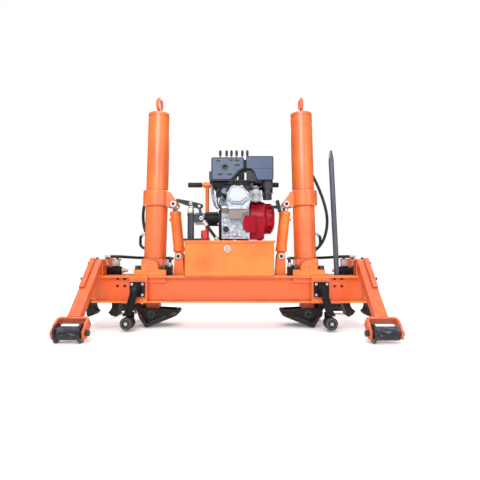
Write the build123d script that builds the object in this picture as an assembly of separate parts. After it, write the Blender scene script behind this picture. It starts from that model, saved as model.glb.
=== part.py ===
from build123d import *
import math
import os

os.makedirs("parts", exist_ok=True)

# Sizes are in millimetres. X runs across the track, the front is -Y and Z is up.
# Each piece is drawn on the right (+X) and at the front (-Y), then mirrored.
RIGHT, LEFT = 1, -1
FRONT, REAR = -1, 1
CORNERS = [(end, side) for end in (FRONT, REAR) for side in (LEFT, RIGHT)]
SIDE_NAME = {LEFT: "left", RIGHT: "right"}
END_NAME = {FRONT: "front", REAR: "rear"}
# Radial clearance of a running fit, and of a sleeve pushed onto a bar
RUNNING = 0.05
SEAT = 0.1


def block(x, y, z):
    """A box from (low, high) pairs."""
    size = [high - low for low, high in (x, y, z)]
    middle = [(high + low) / 2 for low, high in (x, y, z)]
    return Pos(*middle) * Box(*size)


def rounded_block(x, y, z, radius):
    """A box from (low, high) pairs with its four upright edges rounded."""
    outline = RectangleRounded(x[1] - x[0], y[1] - y[0], radius)
    return extrude(Pos((x[0] + x[1]) / 2, (y[0] + y[1]) / 2, z[0]) * outline, z[1] - z[0])


def round_x(radius, x, y, z):
    """A cylinder along X from x[0] to x[1]."""
    return Pos((x[0] + x[1]) / 2, y, z) * Rot(0, 90, 0) * Cylinder(radius, x[1] - x[0])


def round_y(radius, x, y, z):
    """A cylinder along Y from y[0] to y[1]."""
    return Pos(x, (y[0] + y[1]) / 2, z) * Rot(90, 0, 0) * Cylinder(radius, y[1] - y[0])


def round_z(radius, x, y, z):
    """A cylinder along Z from z[0] to z[1]."""
    return Pos(x, y, (z[0] + z[1]) / 2) * Cylinder(radius, z[1] - z[0])


def nut_x(radius, x, y, z):
    """A hexagon bar along X, its radius to the corners."""
    return extrude(Pos(x[0], y, z) * Rot(0, 90, 0) * RegularPolygon(radius, 6), x[1] - x[0])


def turned_x(profile, y, z):
    """A solid turned about a line along X, from (x, radius) pairs."""
    points = [(profile[0][0], 0)] + profile + [(profile[-1][0], 0)]
    return Pos(0, y, z) * revolve(make_face(Polyline(*points, close=True)), Axis.X)


def turned_y(profile, x, z):
    """A solid turned about a line along Y, from (y, radius) pairs."""
    return Pos(x, 0, z) * Rot(0, 0, 90) * turned_x(profile, 0, 0)


def turned_z(profile, x, y):
    """A solid turned about a line along Z, from (z, radius) pairs."""
    return Pos(x, y, 0) * Rot(0, -90, 0) * turned_x(profile, 0, 0)


def plate_xz(points, y):
    """A plate whose outline is drawn in X and Z, from y[0] to y[1]."""
    outline = Wire.make_polygon([(px, y[0], pz) for px, pz in points])
    return extrude(Face(outline), amount=y[1] - y[0], dir=(0, 1, 0))


def rounded_xz(points, radius, y):
    """A plate in X and Z with its corners rounded, from y[0] to y[1]."""
    outline = fillet(make_face(Polyline(*points, close=True)).vertices(), radius)
    front = Plane(origin=(0, y[0], 0), x_dir=(1, 0, 0), z_dir=(0, -1, 0))
    return extrude(front * outline, amount=y[1] - y[0], dir=(0, 1, 0))


def plate_yz(points, x):
    """A plate whose outline is drawn in Y and Z, from x[0] to x[1]."""
    outline = Wire.make_polygon([(x[0], py, pz) for py, pz in points])
    return extrude(Face(outline), amount=x[1] - x[0], dir=(1, 0, 0))


def placed(shape, side=RIGHT, end=FRONT):
    """The shape at its side and end of the machine."""
    if side == LEFT:
        shape = mirror(shape, about=Plane.YZ)
    if end == REAR:
        shape = mirror(shape, about=Plane.XZ)
    return shape


def turned(shape, x, z, degrees):
    """The shape turned about the Y line through (x, z)."""
    return Pos(x, 0, z) * Rot(0, degrees, 0) * Pos(-x, 0, -z) * shape


def pipe(points, radii, radius):
    """A round bar along straight runs joined by arcs."""
    path = FilletPolyline(*points, radius=radii)
    return sweep(Plane(origin=path @ 0, z_dir=path % 0) * Circle(radius), path=path)


def cord_radii(points):
    """For each corner of a hose's route, the largest arc that its two runs allow."""
    route = [Vector(*point) for point in points]
    radii = []
    for before, corner, after in zip(route, route[1:], route[2:]):
        turn = math.radians((corner - before).get_angle(after - corner))
        shorter = min((corner - before).length, (after - corner).length)
        radii.append(0.45 * shorter / math.tan(turn / 2))
    return radii


def save(name, *shapes):
    solids = [solid for shape in shapes for solid in shape.solids()]
    piece = solids[0] if len(solids) == 1 else Compound(solids)
    export_step(piece, os.path.join("parts", name + ".step"))


# Beam: two I-section girders, tied by decks, with open bays for the lift rods
BEAM_LOW, BEAM_TOP = 147, 301
FLANGE = 12
FLANGE_HALF, WEB_HALF = 783, 756
FLANGE_OUT, FLANGE_IN = 135, 65
WEB_OUT, WEB_IN = 105, 95
BAY_IN, BAY_OUT = 330, 598
TIE = 8
TIE_LOW = 200
LIFT_X = 452
DECK = (BEAM_TOP - FLANGE, BEAM_TOP)

# Rail claws
RAIL_X = 752
CLAW_PIVOT_OFF, CLAW_PIVOT_Z = 70, 190
CLAW_HALF_Y = 40
CHEEK_IN, CHEEK_OUT = 50, 62
CLAW_PIN = 13
CLAW_PIN_HEAD = 6

# Pry bar and its sockets
BAR_X, BAR_Y, BAR_R = 625, -75, 15
SOCKET_BORE, SOCKET_R = 18, 22
SOCKET_FLOOR = 6
BAR_LOW, BAR_TOP = 192, 1030
BAR_LEAN = 2.35

# Flange plates on the girders for the transfer arms
PLATE_X, PLATE_Z, PLATE_HALF = 518, 224, 42
PLATE_THICK = 12
PAD = 10
PAD_X = (463, 566)
PAD_Y = FLANGE_OUT + PAD
RAIL_BAR_X, RAIL_BAR_LOW, RAIL_BAR_THICK = 376, 258, 12


def girder():
    web = block((-WEB_HALF, WEB_HALF), (-WEB_OUT, -WEB_IN), (BEAM_LOW, BEAM_TOP))
    top = block((-FLANGE_HALF, FLANGE_HALF), (-FLANGE_OUT, -FLANGE_IN), DECK)
    low = block((-FLANGE_HALF, FLANGE_HALF), (-FLANGE_OUT, -FLANGE_IN), (BEAM_LOW, BEAM_LOW + FLANGE))
    return web + top + low


def mount_plate():
    """The pad that carries a transfer arm, and the round-nosed bar beside it."""
    pad = block(PAD_X, (-PAD_Y, -WEB_OUT), (BEAM_LOW, BEAM_TOP))
    y = (-WEB_OUT - RAIL_BAR_THICK, -WEB_OUT)
    bar = block((RAIL_BAR_X, PAD_X[0]), y, (RAIL_BAR_LOW, DECK[0]))
    nose = (DECK[0] - RAIL_BAR_LOW) / 2
    return pad + bar + round_y(nose, RAIL_BAR_X, y, RAIL_BAR_LOW + nose)


def claw_cheek():
    low, high = CLAW_PIVOT_Z - 32, DECK[0]
    outer = RAIL_X + CLAW_PIVOT_OFF
    inner = RAIL_X - CLAW_PIVOT_OFF
    outline = [(inner - 30, high), (inner - 30, low + 12), (inner - 15, low), (outer + 12, low),
               (outer + 24, low + 14), (outer + 24, low + 60), (FLANGE_HALF, high)]
    cheek = plate_xz(outline, (-CHEEK_OUT, -CHEEK_IN))
    for pin_x in (inner, outer):
        cheek -= round_y(CLAW_PIN, pin_x, (-CHEEK_OUT - 1, -CHEEK_IN + 1), CLAW_PIVOT_Z)
    return cheek


def pry_socket(side):
    tube = round_z(SOCKET_R, BAR_X, BAR_Y, (BAR_LOW - SOCKET_FLOOR, DECK[0]))
    bore = round_z(SOCKET_BORE, BAR_X, BAR_Y, (BAR_LOW, BEAM_TOP + 1))
    return placed(tube, side), placed(bore, side)


beam = girder() + placed(girder(), end=REAR)
beam += block((-BAY_IN, BAY_IN), (-FLANGE_IN, FLANGE_IN), DECK)
for side in (LEFT, RIGHT):
    beam += placed(block((BAY_OUT - TIE, FLANGE_HALF), (-FLANGE_IN, FLANGE_IN), DECK), side)
    for tie_x in (BAY_IN - TIE, BAY_OUT - TIE):
        beam += placed(block((tie_x, tie_x + TIE), (-WEB_IN, WEB_IN), (TIE_LOW, DECK[0])), side)
    for end in (FRONT, REAR):
        beam += placed(mount_plate(), side, end)
        beam += placed(claw_cheek(), side, end)
    tube, bore = pry_socket(side)
    beam += tube
    beam -= bore
# The four-hole pattern in each web, where a socket or tool holder is bolted on
PATTERN_X, PATTERN_Z = 623, 261
PATTERN_DX, PATTERN_DZ = 40, 43
PATTERN_R = 8.5
for side in (LEFT, RIGHT):
    for hole_x in (PATTERN_X - PATTERN_DX / 2, PATTERN_X + PATTERN_DX / 2):
        for hole_z in (PATTERN_Z - PATTERN_DZ / 2, PATTERN_Z + PATTERN_DZ / 2):
            beam -= placed(round_y(PATTERN_R, hole_x, (-WEB_OUT - 1, -WEB_IN + 1), hole_z), side)
save("beam_frame", beam)

claw_pins = []
for side in (LEFT, RIGHT):
    for off in (-CLAW_PIVOT_OFF, CLAW_PIVOT_OFF):
        ends = (-CHEEK_OUT - CLAW_PIN_HEAD, CHEEK_OUT + CLAW_PIN_HEAD)
        claw_pins.append(placed(round_y(CLAW_PIN - RUNNING, RAIL_X + off, ends, CLAW_PIVOT_Z), side))
save("claw_pins", *claw_pins)

# Trunnion blocks that carry the lift cylinders
TRUNNION_Z = 349
JOURNAL_R, JOURNAL_PROUD = 24, 3
BLOCK_IN, BLOCK_OUT = 78, 135
BLOCK_HALF, BLOCK_BASE = 91, 335
HUMP_R, HUMP_Z = 46, 341


def trunnion_block():
    y = (-BLOCK_OUT, -BLOCK_IN)
    shape = block((LIFT_X - BLOCK_HALF, LIFT_X + BLOCK_HALF), y, (BEAM_TOP, BLOCK_BASE))
    shape += block((LIFT_X - HUMP_R, LIFT_X + HUMP_R), y, (BLOCK_BASE, HUMP_Z))
    shape += round_y(HUMP_R, LIFT_X, y, HUMP_Z)
    shape -= block((LIFT_X - HUMP_R, LIFT_X + HUMP_R), y, (HUMP_Z - HUMP_R - 1, BEAM_TOP))
    return shape - round_y(JOURNAL_R + RUNNING, LIFT_X, (-BLOCK_OUT - 1, -BLOCK_IN + 1), TRUNNION_Z)


save("trunnion_blocks", *[placed(trunnion_block(), side, end) for end, side in CORNERS])

# Lift cylinders, drawn upright and then leant inwards about their trunnions
LIFT_LEAN = 1.35
TUBE_R = 65
TUBE_LOW, TUBE_TOP = 380, 1275
CAP_GROOVE_LOW, CAP_GROOVE, CAP_GROOVE_DEEP = 1252, 4, 2
HEAD_HALF_X, HEAD_HALF_Y = 66, 74
HEAD_LOW, HEAD_HIGH, HEAD_CORNER = 322, 396, 12
GLAND_R, GLAND_LOW = 46, 308
ROD_R = 32
ROD_LOW, ROD_HIGH = 138, 700
BORE_HIGH = 712
COLLAR_R, COLLAR_LOW, COLLAR_HIGH, COLLAR_BEVEL = 81, 711, 803, 4
EYE_RING, EYE_SECTION = 35, 10
EYE_BOSS_R, EYE_BOSS = 24, 16
EYE_Z = TUBE_TOP + EYE_BOSS - 4 + EYE_RING + EYE_SECTION
LIFT_TURN = {LEFT: 11, RIGHT: 2}

# Lining cylinders, from a lug on the beam to a lug on the lift cylinder's collar
LOWER_PIN = (303, 411)
UPPER_PIN = (335, 720)
LUG_IN, LUG_OUT = 36, 48
LINE_PIN_R = 10
PIN_HEAD_R, PIN_HEAD = 19, 7
LUG_R = 24
OPEN_EYE = 3.2

# Hoses and pipes on the lift cylinders; each route is drawn upright,
# as (distance outwards from the cylinder's axis, y, z), and both its ends are behind the tube
HOSE_R = 9
HOSE_ROUTE = {
    LEFT: [(44, 88, 912), (54, 86, 872), (78, 78, 800), (96, 72, 720), (100, 72, 645), (88, 76, 575),
           (66, 83, 518), (44, 88, 472)],
    RIGHT: [(46, 88, 990), (58, 86, 950), (88, 78, 885), (114, 68, 815), (138, 58, 735), (152, 52, 655),
            (149, 54, 580), (130, 62, 510), (94, 74, 456), (46, 86, 424)],
}
FITTING_R, FITTING_LONG, FITTING_ARM_R = 12, 24, 10
PIPE_R, PIPE_BEND = 8.5, 32
PIPE_Y, PIPE_OUT = 36, 101
PIPE_LOW, PIPE_HIGH = 458, 548
PIPE_SEAT = 50
PIPE_NUT_R, PIPE_NUT = 13, 10


def leaned(shape):
    """A shape drawn with the lift cylinder upright, at its real lean."""
    return turned(shape, LIFT_X, TRUNNION_Z, -LIFT_LEAN)


def upright_point(x, z):
    """Where a real point lies in the upright drawing."""
    lean = math.radians(LIFT_LEAN)
    dx, dz = x - LIFT_X, z - TRUNNION_Z
    return (LIFT_X + dx * math.cos(lean) + dz * math.sin(lean),
            TRUNNION_Z - dx * math.sin(lean) + dz * math.cos(lean))


def pin_with_heads(x, z, radius):
    """A pin through a pair of lugs, with a head on each end."""
    pin = round_y(radius, x, (-LUG_OUT - PIN_HEAD, LUG_OUT + PIN_HEAD), z)
    for end in (FRONT, REAR):
        pin += placed(round_y(PIN_HEAD_R, x, (-LUG_OUT - PIN_HEAD, -LUG_OUT), z), end=end)
    return pin


def collar_lug():
    """One of the two plates that reach from the collar to the upper pin."""
    pin_x, pin_z = upright_point(*UPPER_PIN)
    outline = [(LIFT_X - 55, COLLAR_HIGH - 6), (LIFT_X - 55, COLLAR_LOW), (pin_x + 16, pin_z - 18),
               (pin_x - 2, pin_z - 23), (pin_x - 23, pin_z + 6), (LIFT_X - 78, COLLAR_HIGH - 6)]
    plate = plate_xz(outline, (-LUG_OUT, -LUG_IN))
    plate += round_y(LUG_R, pin_x, (-LUG_OUT, -LUG_IN), pin_z)
    return plate - round_z(TUBE_R, LIFT_X, 0, (COLLAR_LOW - 30, COLLAR_HIGH + 30))


def hose_fitting(route, first):
    """The elbow that a hose's first or last point leaves, fused to the tube."""
    off, y, z = route[0] if first else route[-1]
    inner_off, inner_y, inner_z = route[1] if first else route[-2]
    mouth = Vector(LIFT_X + off, y, z)
    away = (mouth - Vector(LIFT_X + inner_off, inner_y, inner_z)).normalized()
    elbow = extrude(Plane(origin=mouth, z_dir=away) * Circle(FITTING_R), FITTING_LONG)
    turn = mouth + away * (FITTING_LONG - FITTING_ARM_R)
    return elbow + round_y(FITTING_ARM_R, turn.X, (TUBE_R * 0.7, turn.Y), turn.Z)


def lift_barrel(side):
    tube = [(TUBE_LOW, TUBE_R), (CAP_GROOVE_LOW, TUBE_R), (CAP_GROOVE_LOW, TUBE_R - CAP_GROOVE_DEEP),
            (CAP_GROOVE_LOW + CAP_GROOVE, TUBE_R - CAP_GROOVE_DEEP), (CAP_GROOVE_LOW + CAP_GROOVE, TUBE_R),
            (TUBE_TOP - 3, TUBE_R), (TUBE_TOP, TUBE_R - 3), (TUBE_TOP, EYE_BOSS_R),
            (TUBE_TOP + EYE_BOSS, EYE_BOSS_R - 4)]
    collar = [(COLLAR_LOW, COLLAR_R - COLLAR_BEVEL), (COLLAR_LOW + COLLAR_BEVEL, COLLAR_R),
              (COLLAR_HIGH - COLLAR_BEVEL, COLLAR_R), (COLLAR_HIGH, COLLAR_R - COLLAR_BEVEL)]
    shape = turned_z(tube, LIFT_X, 0) + turned_z(collar, LIFT_X, 0)
    shape += rounded_block((LIFT_X - HEAD_HALF_X, LIFT_X + HEAD_HALF_X), (-HEAD_HALF_Y, HEAD_HALF_Y),
                           (HEAD_LOW, HEAD_HIGH), HEAD_CORNER)
    shape += round_z(GLAND_R, LIFT_X, 0, (GLAND_LOW, HEAD_LOW))
    shape += round_y(JOURNAL_R, LIFT_X, (-BLOCK_OUT - JOURNAL_PROUD, BLOCK_OUT + JOURNAL_PROUD), TRUNNION_Z)
    for first in (True, False):
        shape += hose_fitting(HOSE_ROUTE[side], first)
    shape -= round_z(ROD_R + RUNNING, LIFT_X, 0, (GLAND_LOW - 1, BORE_HIGH))
    ring = Torus(EYE_RING, EYE_SECTION)
    shape += Pos(LIFT_X, 0, EYE_Z) * Rot(0, 0, LIFT_TURN[side]) * Rot(0, 90, 0) * ring
    for end in (FRONT, REAR):
        shape += placed(collar_lug(), end=end)
    shape += pin_with_heads(*upright_point(*UPPER_PIN), LINE_PIN_R)
    return placed(leaned(shape), side)


def lift_hose(side):
    points = [(LIFT_X + off, y, z) for off, y, z in HOSE_ROUTE[side]]
    radii = cord_radii(points)
    shape = pipe(points, radii, HOSE_R)
    length = shape.volume / (math.pi * HOSE_R ** 2)
    print("hose", SIDE_NAME[side], "radii", [round(r) for r in radii], "length", round(length))
    return placed(leaned(shape), side)


def lift_pipe():
    """The bent steel pipe between two ports low on the tube's outer side."""
    reach = LIFT_X + PIPE_OUT
    seat = LIFT_X + math.sqrt(TUBE_R ** 2 - PIPE_Y ** 2)
    shape = pipe([(seat + PIPE_NUT, PIPE_Y, PIPE_HIGH), (reach, PIPE_Y, PIPE_HIGH),
                  (reach, PIPE_Y, PIPE_LOW), (seat + PIPE_NUT, PIPE_Y, PIPE_LOW)],
                 [PIPE_BEND, PIPE_BEND], PIPE_R)
    for z in (PIPE_LOW, PIPE_HIGH):
        shape += nut_x(PIPE_NUT_R, (LIFT_X + PIPE_SEAT, seat + PIPE_NUT), PIPE_Y, z)
    return leaned(shape - round_z(TUBE_R, LIFT_X, 0, (TUBE_LOW, TUBE_TOP)))


def lining_lug():
    pin_x, pin_z = LOWER_PIN
    outline = [(pin_x - 33, BEAM_TOP), (pin_x + 27, BEAM_TOP), (pin_x + LUG_R, pin_z), (pin_x - LUG_R, pin_z)]
    plate = plate_xz(outline, (-LUG_OUT, -LUG_IN))
    plate += round_y(LUG_R, pin_x, (-LUG_OUT, -LUG_IN), pin_z)
    return plate


# Feet under the lift rods, wide at the point that digs in beside the rail
FOOT_PIN_Z, FOOT_PIN_R = 72, 13
FOOT_X = LIFT_X + (TRUNNION_Z - FOOT_PIN_Z) * math.sin(math.radians(LIFT_LEAN))
FOOT_Z = TRUNNION_Z - (TRUNNION_Z - FOOT_PIN_Z) * math.cos(math.radians(LIFT_LEAN))
FOOT_HALF_Y, FOOT_POINT_HALF_Y = 58, 100
FOOT_WIDE_TOP, FOOT_NARROW_LOW = 62, 88
FOOT_WEB_IN, FOOT_WEB_OUT, FOOT_WEB_R = 44, 56, 27
TANG_HALF_Y, TANG_R = 38, 22
ROD_END_HALF_X, ROD_END_HALF_Y, ROD_END_LOW = 40, 42, 106
FOOT_POINT = (478, 4)
FOOT_OUTER = (566, 128)
FOOT_INNER = (300, 92)
FOOT_LIP_R = 11


def foot():
    point_x, point_z = FOOT_POINT
    outer_x, outer_z = FOOT_OUTER
    inner_x, inner_z = FOOT_INNER
    y = (-FOOT_POINT_HALF_Y, FOOT_POINT_HALF_Y)
    outer = [(outer_x, outer_z), (outer_x - 15, outer_z + 4), (point_x - 2, 24), (point_x - 6, point_z),
             (point_x + 6, point_z)]
    inner = [(point_x + 6, point_z), (point_x - 2, 24), (inner_x + 12, inner_z + 8), (inner_x, inner_z - 6),
             (inner_x + 6, inner_z - 24), (point_x - 8, point_z)]
    shape = plate_xz(outer, y) + plate_xz(inner, y)
    shape += round_y(FOOT_LIP_R, inner_x + 8, y, inner_z - 4)
    taper = [(-FOOT_POINT_HALF_Y, 0), (-FOOT_POINT_HALF_Y, FOOT_WIDE_TOP), (-FOOT_HALF_Y, FOOT_NARROW_LOW),
             (-FOOT_HALF_Y, BEAM_LOW), (FOOT_HALF_Y, BEAM_LOW), (FOOT_HALF_Y, FOOT_NARROW_LOW),
             (FOOT_POINT_HALF_Y, FOOT_WIDE_TOP), (FOOT_POINT_HALF_Y, 0)]
    shape &= plate_yz(taper, (inner_x - 20, outer_x + 20))
    web = [(point_x, 12), (outer_x - 8, outer_z - 6), (outer_x - 26, outer_z - 18), (inner_x + 30, inner_z + 8),
           (inner_x + 12, inner_z + 4)]
    for end in (FRONT, REAR):
        plate = plate_xz(web, (-FOOT_WEB_OUT, -FOOT_WEB_IN))
        plate += round_y(FOOT_WEB_R, FOOT_X, (-FOOT_WEB_OUT, -FOOT_WEB_IN), FOOT_Z)
        shape += placed(plate, end=end)
    return shape + round_y(FOOT_PIN_R, FOOT_X, (-FOOT_WEB_OUT - 6, FOOT_WEB_OUT + 6), FOOT_Z)


def lift_rod():
    shape = round_z(ROD_R, LIFT_X, 0, (ROD_LOW, ROD_HIGH))
    shape += rounded_block((LIFT_X - ROD_END_HALF_X, LIFT_X + ROD_END_HALF_X),
                           (-ROD_END_HALF_Y, ROD_END_HALF_Y), (ROD_END_LOW, ROD_LOW), 8)
    shape += block((LIFT_X - TANG_R, LIFT_X + TANG_R), (-TANG_HALF_Y, TANG_HALF_Y), (FOOT_PIN_Z, ROD_END_LOW))
    shape += round_y(TANG_R, LIFT_X, (-TANG_HALF_Y, TANG_HALF_Y), FOOT_PIN_Z)
    return leaned(shape - round_y(FOOT_PIN_R + RUNNING, LIFT_X, (-TANG_HALF_Y - 1, TANG_HALF_Y + 1), FOOT_PIN_Z))


# Lining cylinder sizes along the line between its pins
LINE_R, LINE_ROD_R = 32, 15
LINE_LOW, LINE_HIGH = 27, 270
LINE_CAP_R, LINE_CAP = 34, 24
LINE_EYE_R, LINE_EYE_HALF = 22, 30
LINE_BORE_LOW, LINE_ROD_LOW = 120, 150
PORT_R, PORT_Z, PORT_LONG = 8, 224, 10
dx, dz = UPPER_PIN[0] - LOWER_PIN[0], UPPER_PIN[1] - LOWER_PIN[1]
LINE_LENGTH = math.hypot(dx, dz)
LINE_LEAN = math.degrees(math.atan2(dx, dz))


def along_line(shape):
    """A shape drawn upright on the origin, set on the line between the pins."""
    return Pos(LOWER_PIN[0], 0, LOWER_PIN[1]) * Rot(0, LINE_LEAN, 0) * shape


def lining_barrel():
    profile = [(LINE_LOW, LINE_CAP_R - 3), (LINE_LOW + 3, LINE_CAP_R), (LINE_LOW + LINE_CAP, LINE_CAP_R),
               (LINE_LOW + LINE_CAP, LINE_R), (LINE_HIGH - LINE_CAP, LINE_R), (LINE_HIGH - LINE_CAP, LINE_CAP_R),
               (LINE_HIGH - 3, LINE_CAP_R), (LINE_HIGH, LINE_CAP_R - 3)]
    shape = turned_z(profile, 0, 0)
    shape += round_y(LINE_EYE_R, 0, (-LINE_EYE_HALF, LINE_EYE_HALF), 0)
    shape += block((-LINE_EYE_R, LINE_EYE_R), (-LINE_EYE_HALF + 6, LINE_EYE_HALF - 6), (0, LINE_LOW + 4))
    shape += round_x(PORT_R, (0, LINE_R + PORT_LONG), 0, PORT_Z)
    shape -= round_z(LINE_ROD_R + RUNNING, 0, 0, (LINE_BORE_LOW, LINE_HIGH + 1))
    shape -= round_y(LINE_PIN_R + RUNNING, 0, (-LINE_EYE_HALF - 1, LINE_EYE_HALF + 1), 0)
    return along_line(shape)


def lining_rod():
    shape = round_z(LINE_ROD_R, 0, 0, (LINE_ROD_LOW, LINE_LENGTH))
    shape += round_y(LINE_EYE_R, 0, (-LINE_EYE_HALF, LINE_EYE_HALF), LINE_LENGTH)
    shape -= round_y(LINE_PIN_R + OPEN_EYE, 0, (-LINE_EYE_HALF - 1, LINE_EYE_HALF + 1), LINE_LENGTH)
    return along_line(shape)


brackets = []
for side in (LEFT, RIGHT):
    save("lift_barrel_" + SIDE_NAME[side], lift_barrel(side))
    save("lift_hose_" + SIDE_NAME[side], lift_hose(side))
    save("lift_pipe_" + SIDE_NAME[side], placed(lift_pipe(), side))
    save("lift_rod_" + SIDE_NAME[side], placed(lift_rod(), side))
    save("foot_" + SIDE_NAME[side], placed(foot(), side))
    save("lining_barrel_" + SIDE_NAME[side], placed(lining_barrel(), side))
    save("lining_rod_" + SIDE_NAME[side], placed(lining_rod(), side))
    bracket = placed(lining_lug(), end=FRONT) + placed(lining_lug(), end=REAR)
    bracket += pin_with_heads(*LOWER_PIN, LINE_PIN_R)
    brackets.append(placed(bracket, side))
save("lining_brackets", *brackets)

# Claws: drawn closed on a rail head, then turned to how each one hangs
# name, side, pivot offset from the rail, opening angle at rest in degrees
CLAWS = [
    ("claw_left_outer", LEFT, 1, 0),
    ("claw_left_inner", LEFT, -1, 0),
    ("claw_right_outer", RIGHT, 1, 0),
    ("claw_right_inner", RIGHT, -1, -12),
]
CLAW_BOSS_R, CLAW_HALF_X = 26, 24
CLAW_LOW, HOOK_TIP = 54, 37


def claw():
    """The outer claw of the right-hand rail, closed."""
    pivot_x = CLAW_PIVOT_OFF
    outer = pivot_x + CLAW_HALF_X
    with BuildSketch(Plane.XY) as outline:
        with BuildLine():
            Polyline((pivot_x - CLAW_HALF_X, CLAW_PIVOT_Z), (outer, CLAW_PIVOT_Z), (outer, 110), (outer - 1, 68))
            RadiusArc((outer - 1, 68), (pivot_x + 8, CLAW_LOW), 16)
            Polyline((pivot_x + 8, CLAW_LOW), (pivot_x - 20, 64), (HOOK_TIP, 78), (HOOK_TIP, 84))
            RadiusArc((HOOK_TIP, 84), (pivot_x - 14, 124), -46)
            Line((pivot_x - 14, 124), (pivot_x - CLAW_HALF_X, CLAW_PIVOT_Z))
        make_face()
    front = Plane(origin=(0, -CLAW_HALF_Y, 0), x_dir=(1, 0, 0), z_dir=(0, -1, 0))
    shape = extrude(front * outline.sketch, amount=2 * CLAW_HALF_Y, dir=(0, 1, 0))
    shape += round_y(CLAW_BOSS_R, pivot_x, (-CLAW_HALF_Y, CLAW_HALF_Y), CLAW_PIVOT_Z)
    return shape - round_y(CLAW_PIN, pivot_x, (-CLAW_HALF_Y - 1, CLAW_HALF_Y + 1), CLAW_PIVOT_Z)


for name, side, off, opening in CLAWS:
    shape = turned(claw(), CLAW_PIVOT_OFF, CLAW_PIVOT_Z, -opening)
    if off < 0:
        shape = mirror(shape, about=Plane.YZ)
    save(name, placed(Pos(RAIL_X, 0, 0) * shape, side))

# Clamp cylinders on the beam ends; each has a port block and a hose elbow
ACTUATOR_X, ACTUATOR_R, ACTUATOR_Z = (648, 758), 24, BEAM_TOP + 25
SADDLES = [(660, 690), (708, 738)]
PORT_BLOCK_X, PORT_BLOCK_HALF, PORT_BLOCK = (664, 700), 18, 26
ELBOW_X, ELBOW_Z, ELBOW_R = 744, 409, 9
# Port block that each clamp hose ends at, on the beam beside the lining cylinder
FEED_X, FEED_Y, FEED_HIGH, FEED_FERRULE = (333, 359), (-108, -68), 350, 24
FERRULE_R, FERRULE_END = 11, 716
actuators, fittings = [], []
for side in (LEFT, RIGHT):
    body = turned_x([(ACTUATOR_X[0], 19), (ACTUATOR_X[0] + 5, ACTUATOR_R), (ACTUATOR_X[1] - 5, ACTUATOR_R),
                     (ACTUATOR_X[1], 19)], 0, ACTUATOR_Z)
    for saddle in SADDLES:
        body += block(saddle, (-ACTUATOR_R, ACTUATOR_R), (BEAM_TOP, ACTUATOR_Z))
    port_y = (-PORT_BLOCK_HALF, PORT_BLOCK_HALF)
    body += block(PORT_BLOCK_X, port_y, (ACTUATOR_Z, ACTUATOR_Z + PORT_BLOCK))
    actuators.append(placed(body, side))
    actuators.append(placed(block(FEED_X, FEED_Y, (BEAM_TOP, FEED_HIGH)), side))
    port_top = ACTUATOR_Z + PORT_BLOCK
    fittings.append(placed(rounded_block(PORT_BLOCK_X, port_y, (port_top, port_top + 34), 6), side))
    elbow = round_z(ELBOW_R, ELBOW_X, 0, (ACTUATOR_Z, ELBOW_Z)) + Pos(ELBOW_X, 0, ELBOW_Z) * Sphere(FERRULE_R)
    elbow += round_x(FERRULE_R, (FERRULE_END, ELBOW_X), 0, ELBOW_Z)
    fittings.append(placed(elbow - round_x(ACTUATOR_R, ACTUATOR_X, 0, ACTUATOR_Z), side))
save("clamp_cylinders", *actuators)

# Roller arms: side view in (forward, z), from the beam end to the fork
ARM_TOP = (130, 378)
ARM_LOW = (425, 108)
ARM_X = (721, 783)
ARM_HALF = 22
STRIP_WIDE, STRIP_PROUD, STRIP_FROM = 26, 10, 180
AXLE_Y, AXLE_Z = 500, 47
FORK_X = (670, 830)
FORK_PLATE = 12
FORK_CORNER = 22
STRAP_HALF, STRAP_THICK = 20, 14
STRAP_DOWN = 8
FLANGE_R, TREAD_R = 47, 33
AXLE_R, AXLE_NUT_R, AXLE_NUT, AXLE_HEAD = 10, 15, 16, 6
POST_TOP, CAP_PLATE = 384, 10
CAP_PLATE_IN = 690
run_f, run_z = ARM_LOW[0] - ARM_TOP[0], ARM_LOW[1] - ARM_TOP[1]
run = math.hypot(run_f, run_z)
ALONG = (run_f / run, run_z / run)
ACROSS = (-run_z / run, run_f / run)


def on_arm(along, across):
    """(Y, Z) of a point on the front arm, from the fork end upwards and outwards."""
    f = ARM_LOW[0] - along * ALONG[0] + across * ACROSS[0]
    z = ARM_LOW[1] - along * ALONG[1] + across * ACROSS[1]
    return (-f, z)


def fork():
    """A bent U of flat bar, its two cheeks cut to their outline in side view."""
    reach = 150
    middle = (FORK_X[0] + FORK_X[1]) / 2
    outer = RectangleRounded(FORK_X[1] - FORK_X[0], 2 * reach, FORK_CORNER)
    inner = Pos(0, STRAP_THICK) * RectangleRounded(FORK_X[1] - FORK_X[0] - 2 * FORK_PLATE, 2 * reach,
                                                    FORK_CORNER - FORK_PLATE)
    top_y, top_z = on_arm(-STRAP_DOWN - reach, 0)
    plane = Plane(origin=(middle, top_y, top_z), x_dir=(1, 0, 0), z_dir=(0, ACROSS[0], -ACROSS[1]))
    bent = extrude(plane * (outer - inner), amount=60, both=True)
    cheek = [on_arm(-STRAP_DOWN, STRAP_HALF), on_arm(-60, 32), (-AXLE_Y - 25, AXLE_Z + 8),
             (-AXLE_Y - 18, AXLE_Z - 26), (-AXLE_Y + 14, AXLE_Z - 30), (-AXLE_Y + 34, AXLE_Z),
             on_arm(-STRAP_DOWN - 20, -STRAP_HALF), on_arm(-STRAP_DOWN, -STRAP_HALF)]
    return bent & plate_yz(cheek, (FORK_X[0] - 1, FORK_X[1] + 1))


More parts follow.
